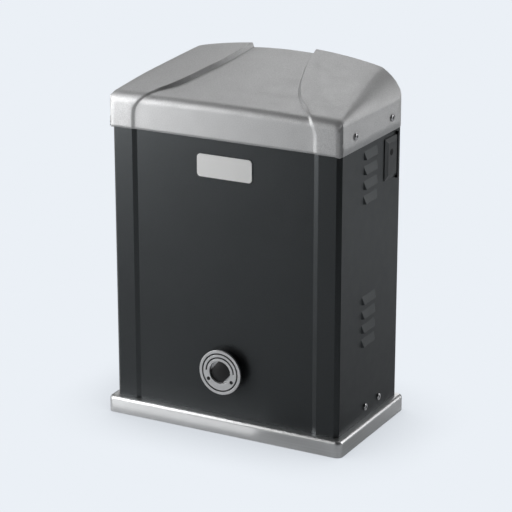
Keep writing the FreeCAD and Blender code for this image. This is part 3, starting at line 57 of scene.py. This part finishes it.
# Noise scales of the slow change of tone and of the blotches in the roughness
TONE_SCALE = 9.0
BLOTCH_SCALE = 60.0
GRIT_DARK = (0.86, 0.86, 0.86)
GRIT_LIGHT = (1.14, 1.14, 1.14)
# Brushed metal: how much darker the streaks are, their change of roughness both ways, and the depth
# of their relief in metres
STREAK_SHIFT = 0.1
STREAK_SMOOTHER = 0.05
STREAK_ROUGHER = 0.07
STREAK_DEPTH = 0.0001
# The release disc in millimetres: its height, the plane of its face and the two grooves in it,
# which hold painted shade
OUTPUT_Z = 90.0
DISC_FACE_Y = -103.2
OUTER_GROOVE = 26.3
INNER_GROOVE = 20.8
GROOVE_HALF = 0.95
GROOVE_FADE = 0.2
ARC_FADE = 0.6
# Painted shade darkens the boss side between two depths behind the face, but not within the well's
# edge, which fades between two radii
BOSS_FADE = (2.8, 3.4)
WELL_FADE = (18.0, 19.0)
DISC_SILVERS = ((0.74, 0.745, 0.755), (0.84, 0.845, 0.855))
DISC_SHADE = (0.02, 0.022, 0.025, 1.0)
# Share of metal in the silver and in the painted shade of the disc
DISC_METAL = (0.65, 0.1)
DISC_ROUGHNESS = 0.4
DISC_TONE_SCALE = 70.0
DISC_GRAIN = 1200.0
DISC_RELIEF = 0.12
DISC_DEPTH = 0.0001
DISC_EDGE = 0.0009


class Shader:
    """A node tree with one Principled shader, built in small steps."""

    def __init__(self, name):
        self.material = bpy.data.materials.new(name)
        self.material.use_nodes = True
        self.tree = self.material.node_tree
        self.main = self.tree.nodes["Principled BSDF"]
        self.coords = self.node("ShaderNodeTexCoord").outputs["Object"]

    def node(self, kind, **settings):
        made = self.tree.nodes.new(kind)
        for key, value in settings.items():
            setattr(made, key, value)
        return made

    def link(self, source, target):
        self.tree.links.new(source, target)

    def put(self, name, value):
        self.main.inputs[name].default_value = value

    def stretched(self, scale):
        mapping = self.node("ShaderNodeMapping")
        self.link(self.coords, mapping.inputs["Vector"])
        mapping.inputs["Scale"].default_value = scale
        return mapping.outputs["Vector"]

    def noise(self, scale, detail, roughness=0.55, vector=None):
        made = self.node("ShaderNodeTexNoise")
        self.link(vector or self.coords, made.inputs["Vector"])
        made.inputs["Scale"].default_value = scale
        made.inputs["Detail"].default_value = detail
        made.inputs["Roughness"].default_value = roughness
        return made.outputs["Fac"]

    def spread(self, source, low, high, start=0.3, end=0.7):
        """The source's values from start to end, spread from low to high."""
        made = self.node("ShaderNodeMapRange")
        self.link(source, made.inputs["Value"])
        made.inputs["From Min"].default_value = start
        made.inputs["From Max"].default_value = end
        made.inputs["To Min"].default_value = low
        made.inputs["To Max"].default_value = high
        return made.outputs["Result"]

    def mixed(self, factor, first, second):
        """A colour between two, by a factor from 0 to 1."""
        made = self.node("ShaderNodeMix", data_type="RGBA")
        self.link(factor, made.inputs["Factor"])
        made.inputs["A"].default_value = (*first, 1.0)
        made.inputs["B"].default_value = (*second, 1.0)
        return made.outputs["Result"]

    def multiplied(self, first, second):
        """The product of two colours."""
        made = self.node("ShaderNodeMix", data_type="RGBA", blend_type="MULTIPLY")
        made.inputs["Factor"].default_value = 1.0
        self.link(first, made.inputs["A"])
        self.link(second, made.inputs["B"])
        return made.outputs["Result"]

    def maths(self, operation, first, second=0.0):
        made = self.node("ShaderNodeMath", operation=operation)
        for place, value in enumerate((first, second)):
            if isinstance(value, float):
                made.inputs[place].default_value = value
            else:
                self.link(value, made.inputs[place])
        return made.outputs[0]

    def surface(self, height, strength, distance, edge_radius):
        """Fine relief over edges that the shader rounds."""
        bump = self.node("ShaderNodeBump")
        bump.inputs["Strength"].default_value = strength
        bump.inputs["Distance"].default_value = distance
        self.link(height, bump.inputs["Height"])
        if edge_radius:
            bevel = self.node("ShaderNodeBevel", samples=BEVEL_SAMPLES)
            bevel.inputs["Radius"].default_value = edge_radius
            self.link(bevel.outputs["Normal"], bump.inputs["Normal"])
        self.link(bump.outputs["Normal"], self.main.inputs["Normal"])


def finish_of(name, colour, roughness, metallic=0.0, shift=0.12, grain=900.0, relief=0.15,
              depth=0.0002, edge=0.0006, wear=0.06, grit=0.0):
    """A paint, plastic or metal with slow changes of tone, fine grain and softened edges.

    shift is the share by which the tone changes, grain and relief are the scale and strength of
    the fine relief, wear is the change of roughness, and grit is the scale of light specks."""
    shader = Shader(name)
    slow = shader.spread(shader.noise(TONE_SCALE, detail=3.0), 0.0, 1.0)
    darker = tuple(c * (1 - shift) for c in colour)
    lighter = tuple(min(1.0, c * (1 + shift)) for c in colour)
    tone = shader.mixed(slow, darker, lighter)
    if grit:
        fine = shader.noise(grit, detail=1.0, roughness=0.5)
        specks = shader.spread(fine, 0.0, 1.0, start=0.25, end=0.75)
        tone = shader.multiplied(tone, shader.mixed(specks, GRIT_DARK, GRIT_LIGHT))
    shader.link(tone, shader.main.inputs["Base Color"])
    blotches = shader.noise(BLOTCH_SCALE, detail=5.0)
    shader.link(shader.spread(blotches, roughness - wear, roughness + wear),
                shader.main.inputs["Roughness"])
    shader.put("Metallic", metallic)
    shader.surface(shader.noise(grain, detail=2.0, roughness=0.6), relief, depth, edge)
    return shader.material


def brushed(name, colour, roughness, stretch, relief=0.2, edge=0.0008):
    """Brushed metal with streaks along the axes of small stretch."""
    shader = Shader(name)
    streaks = shader.noise(1.0, detail=5.0, roughness=0.6, vector=shader.stretched(stretch))
    darker = tuple(c * (1 - STREAK_SHIFT) for c in colour)
    shader.link(shader.mixed(shader.spread(streaks, 0.0, 1.0), darker, colour),
                shader.main.inputs["Base Color"])
    shader.link(shader.spread(streaks, roughness - STREAK_SMOOTHER, roughness + STREAK_ROUGHER),
                shader.main.inputs["Roughness"])
    shader.put("Metallic", 1.0)
    shader.surface(streaks, relief, STREAK_DEPTH, edge)
    return shader.material


def disc_finish():
    """Satin silver face, rim and well, with painted shade on the boss side and in the two grooves.
    """
    shader = Shader("bezel_silver")
    parts = shader.node("ShaderNodeSeparateXYZ")
    shader.link(shader.coords, parts.inputs[0])
    rise = shader.maths("SUBTRACT", parts.outputs["Z"], OUTPUT_Z * MM)
    across_squared = shader.maths("MULTIPLY", parts.outputs["X"], parts.outputs["X"])
    rise_squared = shader.maths("MULTIPLY", rise, rise)
    radius = shader.maths("SQRT", shader.maths("ADD", across_squared, rise_squared))

    # Painted shade in a groove: a darkened ring about its middle radius
    def groove(middle):
        off = shader.maths("ABSOLUTE", shader.maths("SUBTRACT", radius, middle * MM))
        return shader.spread(off, 1.0, 0.0, GROOVE_HALF * MM, (GROOVE_HALF + GROOVE_FADE) * MM)

    upper = shader.spread(rise, 0.0, 1.0, 0.0, ARC_FADE * MM)
    boss_from, boss_full = ((DISC_FACE_Y + depth) * MM for depth in BOSS_FADE)
    behind = shader.spread(parts.outputs["Y"], 0.0, 1.0, boss_from, boss_full)
    outside = shader.spread(radius, 0.0, 1.0, WELL_FADE[0] * MM, WELL_FADE[1] * MM)
    inner_arc_shade = shader.maths("MULTIPLY", groove(INNER_GROOVE), upper)
    # Painted shade on the boss side, and the painted shade of all of it mixed over the silver
    boss_shade = shader.maths("MULTIPLY", behind, outside)
    grooves = shader.maths("MAXIMUM", groove(OUTER_GROOVE), inner_arc_shade)
    painted_shade = shader.maths("MAXIMUM", grooves, boss_shade)
    slow = shader.spread(shader.noise(DISC_TONE_SCALE, detail=3.0), 0.0, 1.0)
    shade = shader.node("ShaderNodeMix", data_type="RGBA")
    shader.link(painted_shade, shade.inputs["Factor"])
    shader.link(shader.mixed(slow, *DISC_SILVERS), shade.inputs["A"])
    shade.inputs["B"].default_value = DISC_SHADE
    shader.link(shade.outputs["Result"], shader.main.inputs["Base Color"])
    shader.link(shader.spread(painted_shade, *DISC_METAL, 0.0, 1.0), shader.main.inputs["Metallic"])
    shader.put("Roughness", DISC_ROUGHNESS)
    grain = shader.noise(DISC_GRAIN, detail=2.0, roughness=0.6)
    shader.surface(grain, DISC_RELIEF, DISC_DEPTH, DISC_EDGE)
    return shader.material


cabinet_paint = finish_of(
    "cabinet_paint", (0.068, 0.073, 0.076), 0.37, metallic=0.86, shift=0.03,
    grain=1500.0, relief=0.3, depth=0.00015, edge=0.0010, wear=0.03, grit=1100.0)
lid_paint = finish_of(
    "lid_paint", (0.60, 0.603, 0.607), 0.56, metallic=0.75, shift=0.02,
    grain=1300.0, relief=0.4, depth=0.0003, edge=0.0, wear=0.04, grit=900.0)
stainless = brushed("stainless", (0.9, 0.905, 0.91), 0.35, stretch=(6.0, 6.0, 700.0), edge=0.0012)
badge_white = finish_of(
    "badge_white", (0.98, 0.98, 0.97), 0.35, shift=0.02,
    grain=1200.0, relief=0.05, depth=0.0001, edge=0.0004)
bezel_silver = disc_finish()
black_plastic = finish_of(
    "black_plastic", (0.012, 0.012, 0.013), 0.35, shift=0.1,
    grain=1400.0, relief=0.2, depth=0.0001, edge=0.0005)
flap_black = finish_of(
    "flap_black", (0.055, 0.060, 0.063), 0.4, metallic=0.3, shift=0.06,
    grain=1400.0, relief=0.25, depth=0.0001)
# Painted shade: the lock's face is near black to stand for the shade inside its keyhole
keyhole_shade = finish_of("keyhole_shade", (0.004, 0.004, 0.004), 0.7)
screw_chrome = finish_of(
    "screw_chrome", (0.6, 0.6, 0.61), 0.13, metallic=1.0, shift=0.06,
    grain=500.0, relief=0.05, depth=0.0001, edge=0.0003, wear=0.03)
zinc = finish_of(
    "zinc", (0.62, 0.62, 0.6), 0.28, metallic=1.0,
    grain=700.0, depth=0.0001, edge=0.0004)
machined = brushed("machined", (0.5, 0.5, 0.51), 0.28, stretch=(500.0, 30.0, 30.0), relief=0.15)
bronze = finish_of("bronze", (0.55, 0.34, 0.13), 0.35, metallic=1.0, shift=0.1)
cast_alloy = finish_of(
    "cast_alloy", (0.42, 0.43, 0.44), 0.55, metallic=0.7, shift=0.1,
    grain=500.0, relief=0.6, depth=0.0005, edge=0.0012)
motor_enamel = finish_of(
    "motor_enamel", (0.06, 0.075, 0.095), 0.42, shift=0.1, grain=700.0, relief=0.3, depth=0.0003)
laminations = brushed(
    "laminations", (0.2, 0.2, 0.21), 0.5, stretch=(10.0, 10.0, 2500.0), relief=0.6)
copper = brushed("copper", (0.5, 0.2, 0.07), 0.35, stretch=(900.0, 900.0, 60.0), relief=0.6)
rubber = finish_of("rubber", (0.02, 0.02, 0.02), 0.75, shift=0.1, grain=800.0, relief=0.3)
box_plastic = finish_of(
    "box_plastic", (0.45, 0.46, 0.46), 0.5, shift=0.04, depth=0.0001, edge=0.001)
board_green = finish_of("board_green", (0.01, 0.11, 0.045), 0.3, shift=0.15)
relay_black = finish_of("relay_black", (0.015, 0.015, 0.03), 0.3, shift=0.1)
terminal_green = finish_of("terminal_green", (0.03, 0.27, 0.08), 0.4, shift=0.08)
can_aluminium = brushed("can_aluminium", (0.66, 0.66, 0.67), 0.3, stretch=(40.0, 40.0, 900.0))
sight_glass = finish_of(
    "sight_glass", (0.5, 0.32, 0.08), 0.08, shift=0.05, grain=300.0, relief=0.02)

FINISHES = {
    cabinet_paint: ["front_panel", "left_panel", "right_panel", "rear_panel"],
    stainless: ["base_tray"],
    badge_white: ["badge_plate"],
    bezel_silver: ["release_bezel"],
    black_plastic: ["release_plug", "release_marks", "limit_switch_housing", "cooling_fan",
                    "flap_hinge_pin"],
    keyhole_shade: ["flap_lock"],
    flap_black: ["access_flap"],
    screw_chrome: ["cabinet_screws"],
    zinc: ["lid_nuts", "bezel_nut", "base_spacers", "levelling_screws", "base_brackets",
           "frame_uprights", "pinion_screw", "cover_screws", "foot_bolts", "oil_plugs",
           "motor_bolts", "electronics_rail", "limit_lever", "limit_spring"],
    machined: ["mounting_plate", "clutch_sleeve", "release_rod", "output_shaft", "drive_pinion",
               "pinion_key", "output_bearings", "worm_shaft", "worm_bearings", "motor_bearing"],
    bronze: ["worm_wheel"],
    cast_alloy: ["gear_housing", "gearbox_cover", "motor_end_shield"],
    motor_enamel: ["motor_housing", "fan_cowl"],
    laminations: ["rotor_core", "stator_core", "transformer"],
    copper: ["motor_windings"],
    rubber: ["cable_grommet", "oil_seal"],
    box_plastic: ["control_box", "control_box_cover"],
    board_green: ["control_board"],
    relay_black: ["board_relays", "limit_switches"],
    terminal_green: ["terminal_blocks"],
    can_aluminium: ["run_capacitor"],
    sight_glass: ["sight_glass"],
}
for material, names in FINISHES.items():
    for name in names:
        mesh = nodes[name].data
        mesh.materials.clear()
        mesh.materials.append(material)


# Lid: one formed sheet whose lowered centre lies between two S-shaped ridges. In millimetres

LID_X = 173.0
LID_Y = 94.0
LID_LOW = 409.0
SHEET = 2.0
CHAMFER_X = 3.7
CHAMFER_Y = 4.5
BACK_RADIUS = 10.0
# Rise above the lid's lower edge: of the crease over the sides, then of the crown and the hips at
# the front and at the back. The hips' insets from the sides are given in the same way
CREASE_RISE = 39.0
CROWN_RISES = (48.6, 91.5)
HIP_RISES = (46.2, 76.5)
HIP_INSETS = (3.0, 33.0)
RISE_POWER = 1.3
# Bulge of the convex ends in the middle, and the share of the room beside it that it may fill
END_BULGE = 4.5
BULGE_SHARE = 0.9
# Softened hips: reach at the front, reach further back, the share of the depth between, the drop
HIP_SOFT_FRONT = 9.0
HIP_SOFT_BACK = 2.0
HIP_SOFT_SHARE = 0.25
HIP_DROP = 0.16
# Fold between the front and the top: its radius, the search for where it meets the top, and how
# far behind the front the step is still measured square to the sheet
FOLD_RADIUS = 16.0
FOLD_PASSES = 3
FIRST_SHARE = 0.3
SLOPE_HALF = 0.5
SQUARE_REACH = 60.0
# Places count along the wrapped profile from the start of the fold, negative on the front
FRONT_SPAN = 40.0
TOP_SCALE = 0.955
END_PLACE = 10.0
FRONT_PLACES = [-40, -36, -30, -24, -18, -13, -9, -6, -3, 0]
FOLD_PLACES = [1.8, 3.6, 5.4, 7.2, 9, 10.8, 12.6, 14.4, 16.2, 18, 19.8, 21.3]
TOP_PLACES = [23, 25, 27.5, 30, 34, 38, 43, 48, 54, 60, 67, 74, 82, 90, 99, 108, 118, 128, 138,
              149, 160, 171, 181, 190, 198, 206]
# Ridge courses: place, distance from the middle plane
LEFT_COURSE = [
    (-20, 138.8), (-12, 138.3), (-6, 137.0), (-2, 135.0), (2.5, 131.8), (7.5, 127.6),
    (12.5, 123.0), (20.2, 117.4), (35.2, 110), (47.2, 102), (62.2, 94), (78.2, 87),
    (95.2, 81), (112.2, 75), (131.2, 68), (152.2, 63), (175.2, 59), (207.2, 56)]
RIGHT_COURSE = [
    (-20, 138.3), (-12, 138.0), (-6, 137.0), (0, 134.8), (5, 132.4), (10, 129.6),
    (17.2, 125.0), (24.2, 120.0), (33.2, 113), (44.2, 103), (58.2, 92), (81.2, 79),
    (103.2, 70), (131.2, 61), (161.2, 52), (188.2, 46.5), (207.2, 42)]
COURSES = {-1: LEFT_COURSE, 1: RIGHT_COURSE}
# Step between wing and centre: place and depth, then place and width in plan
STEP_DEPTH = [(-12, 1.8), (5, 1.9), (24.2, 3.3), (44.2, 5.1), (58.2, 6.1), (78.2, 6.4),
              (207.2, 6.4)]
STEP_WIDTH = [(-12, 6.8), (10, 6.6), (24.2, 5.2), (44.2, 3.8), (78.2, 3.8), (207.2, 3.2)]
# Where the sheet's columns lie within each side, end, step band, wing and the centre
SIDE_STEPS = [0.97, 0.6, 0.3, 0.0]
END_STEPS = [0.0, 0.08, 0.18, 0.35, 0.55, 0.78, 0.92, 1.0]
BAND_STEPS = [0.0, 0.14, 0.3, 0.5, 0.7, 0.86, 1.0]
BAND_DEPTH = [0.0, 0.05, 0.22, 0.5, 0.78, 0.95, 1.0]
WING_STEPS = [k / 9 for k in range(9)]
CENTRE_STEPS = [k / 30 for k in range(1, 30)]
# Points closer than the first, in metres, become one. Edges that turn by the second stay sharp
MERGE = 0.00002
SHARP_DEGREES = 28


def along(table, place):
    """Smooth value at a place from a table of (place, value)."""
    if place <= table[0][0]:
        return table[0][1]
    for k in range(len(table) - 1):
        (x0, y0), (x1, y1) = table[k], table[k + 1]
        if place <= x1:
            before = table[k - 1] if k else (x0 - (x1 - x0), y0)
            after = table[k + 2] if k + 2 < len(table) else (x1 + (x1 - x0), y1)
            m0 = (y1 - before[1]) / (x1 - before[0])
            m1 = (after[1] - y0) / (after[0] - x0)
            span = x1 - x0
            t = (place - x0) / span
            return ((2 * t ** 3 - 3 * t * t + 1) * y0 + (t ** 3 - 2 * t * t + t) * span * m0
                    + (3 * t * t - 2 * t ** 3) * y1 + (t ** 3 - t * t) * span * m1)
    return table[-1][1]


def rise_at(y, pair):
    """Value at depth y, from the pair's first at the front to its second at the back."""
    share = min(max((y + LID_Y) / (2 * LID_Y), 0.0), 1.0)
    return pair[0] + (pair[1] - pair[0]) * (1 - (1 - share) ** RISE_POWER)


def hip_at(y):
    """Distance from the middle plane and height of the hip, where the top meets the end."""
    return LID_X - rise_at(y, HIP_INSETS), LID_LOW + rise_at(y, HIP_RISES)


def top_z(x, y):
    """Height of the top before its centre is lowered: an arc over the hips and the crown."""
    hip_x, hip_z = hip_at(y)
    crown = LID_LOW + rise_at(y, CROWN_RISES)
    sag = crown - hip_z
    radius = (hip_x * hip_x + sag * sag) / (2 * sag)
    return crown - radius + math.sqrt(max(radius * radius - x * x, 0.0))


def end_point(y, b):
    """Point of the convex end between the hip (b = 0) and the crease over the side (b = 1)."""
    hip_x, hip_z = hip_at(y)
    inset, drop = LID_X - hip_x, hip_z - (LID_LOW + CREASE_RISE)
    chord = math.hypot(inset, drop)
    bulge = min(END_BULGE, BULGE_SHARE * chord * inset / (chord + drop) / 2)
    swell = 4 * b * (1 - b) * bulge
    return hip_x + inset * b + swell * drop / chord, hip_z - drop * b + swell * inset / chord


def front_y(x):
    """Front outline in plan with its corner chamfers."""
    return -LID_Y + max(0.0, abs(x) - (LID_X - CHAMFER_X)) * CHAMFER_Y / CHAMFER_X


def back_y(x):
    """Back outline in plan with its round corners."""
    over = min(max(0.0, abs(x) - (LID_X - BACK_RADIUS)), BACK_RADIUS)
    return LID_Y - BACK_RADIUS + math.sqrt(BACK_RADIUS ** 2 - over * over)


def hip_round(y):
    """Reach of the soft hip edge, wide at the front corner."""
    share = (y + LID_Y) / (2 * LID_Y)
    return HIP_SOFT_FRONT - (HIP_SOFT_FRONT - HIP_SOFT_BACK) * min(share / HIP_SOFT_SHARE, 1.0)


def lid_columns():
    """Columns of the sheet from the left side to the right one: kind, parameter, side."""
    half = [("side", s) for s in reversed(SIDE_STEPS)]
    half += [("end", b) for b in reversed(END_STEPS[1:])]
    half += [("wing", w) for w in WING_STEPS]
    half += [("band", k) for k in range(len(BAND_STEPS))]
    left = [(kind, value, -1) for kind, value in half]
    right = [(kind, value, 1) for kind, value in reversed(half)]
    return left + [("centre", c, 0) for c in CENTRE_STEPS] + right


def wrapped(x, place, lowered):
    """Depth and height at x and a place along front, fold and top, let in by lowered."""
    near = front_y(x)
    centre_y = near + FOLD_RADIUS
    meet = centre_y - FIRST_SHARE * FOLD_RADIUS
    for _ in range(FOLD_PASSES):
        rise = top_z(x, meet + SLOPE_HALF) - top_z(x, meet - SLOPE_HALF)
        slope = rise / (2 * SLOPE_HALF)
        length = math.hypot(1, slope)
        meet = centre_y - FOLD_RADIUS * slope / length
    centre_z = top_z(x, meet) - FOLD_RADIUS / length
    turn = math.atan2(1, slope)
    if place <= 0:
        share = 1 + place / FRONT_SPAN
        return near + lowered, LID_LOW + (centre_z - LID_LOW) * share
    if place < FOLD_RADIUS * turn:
        angle = place / FOLD_RADIUS
        radius = FOLD_RADIUS - lowered
        return centre_y - radius * math.cos(angle), centre_z + radius * math.sin(angle)
    y = centre_y - FOLD_RADIUS * math.cos(turn) + (place - FOLD_RADIUS * turn) * TOP_SCALE
    square = max(0.0, 1 - (y + LID_Y) / SQUARE_REACH)
    z = top_z(x, min(y, LID_Y)) - lowered * (1 + square * (1 / length - 1))
    return min(y + square * lowered * slope / length, LID_Y), z


def share_over_top(place):
    """How far over the top a place of the ends is, from 0 at the front to 1 at the back."""
    return max(place - END_PLACE, 0.0) / (TOP_PLACES[-1] - END_PLACE)


def end_profile(kind, value, place):
    """Point of the side below the crease, or of the convex end, at one place."""
    over_top = share_over_top(place)
    if kind == "end":
        x = end_point(-LID_Y + 2 * LID_Y * over_top, value)[0]
    else:
        x, z = LID_X, LID_LOW + CREASE_RISE * value
    near, far = front_y(x), back_y(x)
    y = near + (far - near) * over_top
    if kind == "end":
        x, z = end_point(y, value)
    if place <= 0:
        z = LID_LOW + (z - LID_LOW) * (1 + place / FRONT_SPAN)
    return x, y, z


def outer_point(kind, value, side, place):
    """Point of a side or end column. Towards the hip it's drawn to the wing beside it."""
    x, y, z = end_profile(kind, value, place)
    if kind == "end":
        hip = lid_point("wing", 0.0, 1, place)
        plain = end_profile(kind, 0.0, place)
        pull = (1 - value) ** 2
        x, y, z = (now + pull * (aim - old) for now, aim, old in zip((x, y, z), hip, plain))
    return side * min(x, LID_X), y, z


def wing_point(value, side, place):
    """Point between the hip and the ridge of one side, with the hip softened."""
    hip_x = hip_at(-LID_Y + 2 * LID_Y * share_over_top(place))[0]
    x = hip_x + (along(COURSES[side], place) - hip_x) * value
    y, z = wrapped(x, place, 0.0)
    far = back_y(x)
    if y > far:
        y = far
        z = top_z(x, y)
    soft = max(0.0, 1 - (hip_x - x) / hip_round(y))
    return side * x, y, z - HIP_DROP * hip_round(y) * soft ** 2


def lid_point(kind, value, side, place):
    """Point of one column of the lid at one place along its profile."""
    if kind in ("side", "end"):
        return outer_point(kind, value, side, place)
    if kind == "wing":
        return wing_point(value, side, place)
    depth = along(STEP_DEPTH, place)
    width = along(STEP_WIDTH, place)
    if kind == "centre":
        left = -along(LEFT_COURSE, place) + width
        right = along(RIGHT_COURSE, place) - width
        x = left + (right - left) * value
        return x, *wrapped(x, place, depth)
    x = along(COURSES[side], place) - width * BAND_STEPS[value]
    return side * x, *wrapped(x, place, depth * BAND_DEPTH[value])


def lid():
    """The lid as one sheet with its front, fold, top, convex ends, sides and back."""
    columns = lid_columns()
    places = FRONT_PLACES + FOLD_PLACES + TOP_PLACES
    grid = [[lid_point(*column, place) for column in columns] for place in places]
    last = grid[-1]
    for level in SIDE_STEPS:
        grid.append([(x, y, LID_LOW + (z - LID_LOW) * level) for x, y, z in last])
    form = bmesh.new()
    rows = [[form.verts.new(Vector(point) * MM) for point in row] for row in grid]
    for r, (lower, upper) in enumerate(zip(rows, rows[1:])):
        behind = r >= len(places) - 1
        for k in range(len(columns) - 1):
            if behind and "side" in (columns[k][0], columns[k + 1][0]):
                continue
            form.faces.new([lower[k], lower[k + 1], upper[k + 1], upper[k]])
    bmesh.ops.remove_doubles(form, verts=form.verts, dist=MERGE)
    bmesh.ops.dissolve_degenerate(form, dist=MERGE, edges=form.edges)
    bmesh.ops.recalc_face_normals(form, faces=form.faces)
    top = max(form.faces, key=lambda face: face.calc_center_median().z)
    if top.normal.z < 0:
        bmesh.ops.reverse_faces(form, faces=form.faces)
    for face in form.faces:
        face.smooth = True
    sharp = math.radians(SHARP_DEGREES)
    for edge in form.edges:
        edge.smooth = len(edge.link_faces) != 2 or edge.calc_face_angle(0.0) < sharp
    mesh = bpy.data.meshes.new("lid_sheet")
    form.to_mesh(mesh)
    form.free()
    made = bpy.data.objects.new("lid_sheet", mesh)
    bpy.context.scene.collection.objects.link(made)
    mesh.materials.append(lid_paint)
    shell = made.modifiers.new("sheet", "SOLIDIFY")
    shell.thickness = SHEET * MM
    shell.offset = -1.0
    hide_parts("lid")
    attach(made, "root")


lid()


# Floor, light and camera. In metres

BACKDROP = (0.8308, 0.8714, 0.9216)
WORLD_COLOUR = (0.95, 0.97, 1.0)
WORLD_STRENGTH = 0.02
# The floor fades out between two distances from the middle. Near the tray, by how open it lies, it
# takes more of the painted contact shadow's colour
FLOOR_RADIUS = 2.4
FLOOR_CORNERS = 96
FLOOR_DROP = 0.0004
FLOOR_COLOUR = (0.8, 0.82, 0.84)
FLOOR_ROUGHNESS = 0.9
FLOOR_SHINE = 0.1
FLOOR_FADE = (0.3, 0.62)
CONTACT_REACH = 0.12
CONTACT_SAMPLES = 12
CONTACT_OPEN = (0.35, 0.98)
CONTACT_TONES = (0.55, 1.0)
CONTACT_SHADOW_COLOUR = (0.25, 0.27, 0.3)
# Width of the camera's sensor and its focal length, in millimetres
SENSOR = 36.0
LENS = 149.95
CLIP = (0.1, 50.0)
EYE = (1.30886, -2.43638, 1.12904)
# Turn from +Y and tilt below the horizon, in radians
YAW = -0.49302
PITCH = 0.31584
# Lights: name, place, aim, width and height, power in watts
LIGHTS = [
    ("near_left", (-0.41, -0.33, 0.52), (-0.12, -0.09, 0.37), (0.2, 0.35), 0.85),
    ("left_soft", (-1.5, -0.4, 0.5), (0.0, 0.0, 0.3), (1.2, 1.4), 4.1),
    ("left_front", (-1.28, -1.27, 0.55), (0.0, 0.0, 0.3), (0.9, 1.4), 11.7),
    ("right_back", (1.3, 1.0, 0.75), (0.17, 0.0, 0.3), (1.0, 1.3), 8.4),
    ("back_soft", (-0.6, 1.6, 0.4), (0.0, 0.09, 0.3), (1.0, 1.2), 4.0),
    ("floor_glow", (-0.09, -0.137, 0.001), (-0.09, -0.136, 1.0), (0.26, 0.04), 0.019),
    ("left_back", (-1.4, 0.8, 0.25), (-0.17, 0.0, 0.4), (0.8, 0.8), 0.8),
    ("right_low", (1.5, 0.5, -0.1), (0.17, 0.05, 0.35), (0.35, 0.5), 0.7),
    ("top_soft", (-0.3, 0.85, 1.7), (0.0, 0.0, 0.42), (1.3, 1.3), 7.3),
]


def floor():
    """A pale round floor that fades into the backdrop.

    The camera sees it glow in the backdrop's colour, with a painted contact shadow near the tray.
    Light meets a matte."""
    bpy.ops.mesh.primitive_circle_add(
        vertices=FLOOR_CORNERS, radius=FLOOR_RADIUS, fill_type="NGON", location=(0, 0, -FLOOR_DROP))
    disc = bpy.context.object
    disc.name = "studio_floor"
    shader = Shader("floor_matte_painted_shadow")
    shader.put("Base Color", (*FLOOR_COLOUR, 1.0))
    shader.put("Roughness", FLOOR_ROUGHNESS)
    shader.put("Specular IOR Level", FLOOR_SHINE)
    distance = shader.node("ShaderNodeVectorMath", operation="LENGTH")
    shader.link(shader.coords, distance.inputs[0])
    near = shader.spread(distance.outputs["Value"], 1.0, 0.0, *FLOOR_FADE)
    # Painted contact shadow: the glow that the camera sees darkens where the tray hides the floor
    # from the open sky
    open_sky = shader.node("ShaderNodeAmbientOcclusion", samples=CONTACT_SAMPLES)
    open_sky.inputs["Distance"].default_value = CONTACT_REACH
    shade = shader.spread(open_sky.outputs["AO"], *CONTACT_TONES, *CONTACT_OPEN)
    glow = shader.node("ShaderNodeEmission")
    shader.link(shader.mixed(shade, CONTACT_SHADOW_COLOUR, BACKDROP), glow.inputs["Color"])
    clear = shader.node("ShaderNodeBsdfTransparent")
    faded = shader.node("ShaderNodeMixShader")
    shader.link(near, faded.inputs["Fac"])
    shader.link(clear.outputs["BSDF"], faded.inputs[1])
    shader.link(glow.outputs["Emission"], faded.inputs[2])
    path = shader.node("ShaderNodeLightPath")
    seen = shader.node("ShaderNodeMixShader")
    shader.link(path.outputs["Is Camera Ray"], seen.inputs["Fac"])
    shader.link(shader.main.outputs["BSDF"], seen.inputs[1])
    shader.link(faded.outputs["Shader"], seen.inputs[2])
    shader.link(seen.outputs["Shader"], shader.tree.nodes["Material Output"].inputs["Surface"])
    disc.data.materials.append(shader.material)


def world():
    """A plain backdrop for the camera over a faint even light."""
    made = bpy.data.worlds.new("studio")
    bpy.context.scene.world = made
    made.use_nodes = True
    tree = made.node_tree
    background = tree.nodes["Background"]
    background.inputs["Color"].default_value = (*WORLD_COLOUR, 1.0)
    background.inputs["Strength"].default_value = WORLD_STRENGTH
    path = tree.nodes.new("ShaderNodeLightPath")
    seen = tree.nodes.new("ShaderNodeBackground")
    seen.inputs["Color"].default_value = (*BACKDROP, 1.0)
    mix = tree.nodes.new("ShaderNodeMixShader")
    tree.links.new(path.outputs["Is Camera Ray"], mix.inputs["Fac"])
    tree.links.new(background.outputs["Background"], mix.inputs[1])
    tree.links.new(seen.outputs["Background"], mix.inputs[2])
    tree.links.new(mix.outputs["Shader"], tree.nodes["World Output"].inputs["Surface"])


def area_light(name, place, aim, size, power):
    """A rectangular soft light that the camera doesn't see."""
    data = bpy.data.lights.new(name, "AREA")
    data.shape = "RECTANGLE"
    data.size, data.size_y = size
    data.energy = power
    lamp = bpy.data.objects.new(name, data)
    bpy.context.scene.collection.objects.link(lamp)
    lamp.location = place
    lamp.rotation_euler = (Vector(aim) - Vector(place)).to_track_quat("-Z", "Y").to_euler()
    lamp.visible_camera = False


def camera():
    """The camera fitted to the photo."""
    data = bpy.data.cameras.new("camera")
    data.sensor_width = SENSOR
    data.lens = LENS
    data.clip_start, data.clip_end = CLIP
    eye = bpy.data.objects.new("camera", data)
    bpy.context.scene.collection.objects.link(eye)
    level = math.cos(PITCH)
    forward = Vector((math.sin(YAW) * level, math.cos(YAW) * level, -math.sin(PITCH)))
    eye.location = EYE
    eye.rotation_euler = forward.to_track_quat("-Z", "Y").to_euler()
    bpy.context.scene.camera = eye


floor()
world()
for light in LIGHTS:
    area_light(*light)
camera()
bpy.context.scene.view_settings.view_transform = "Standard"
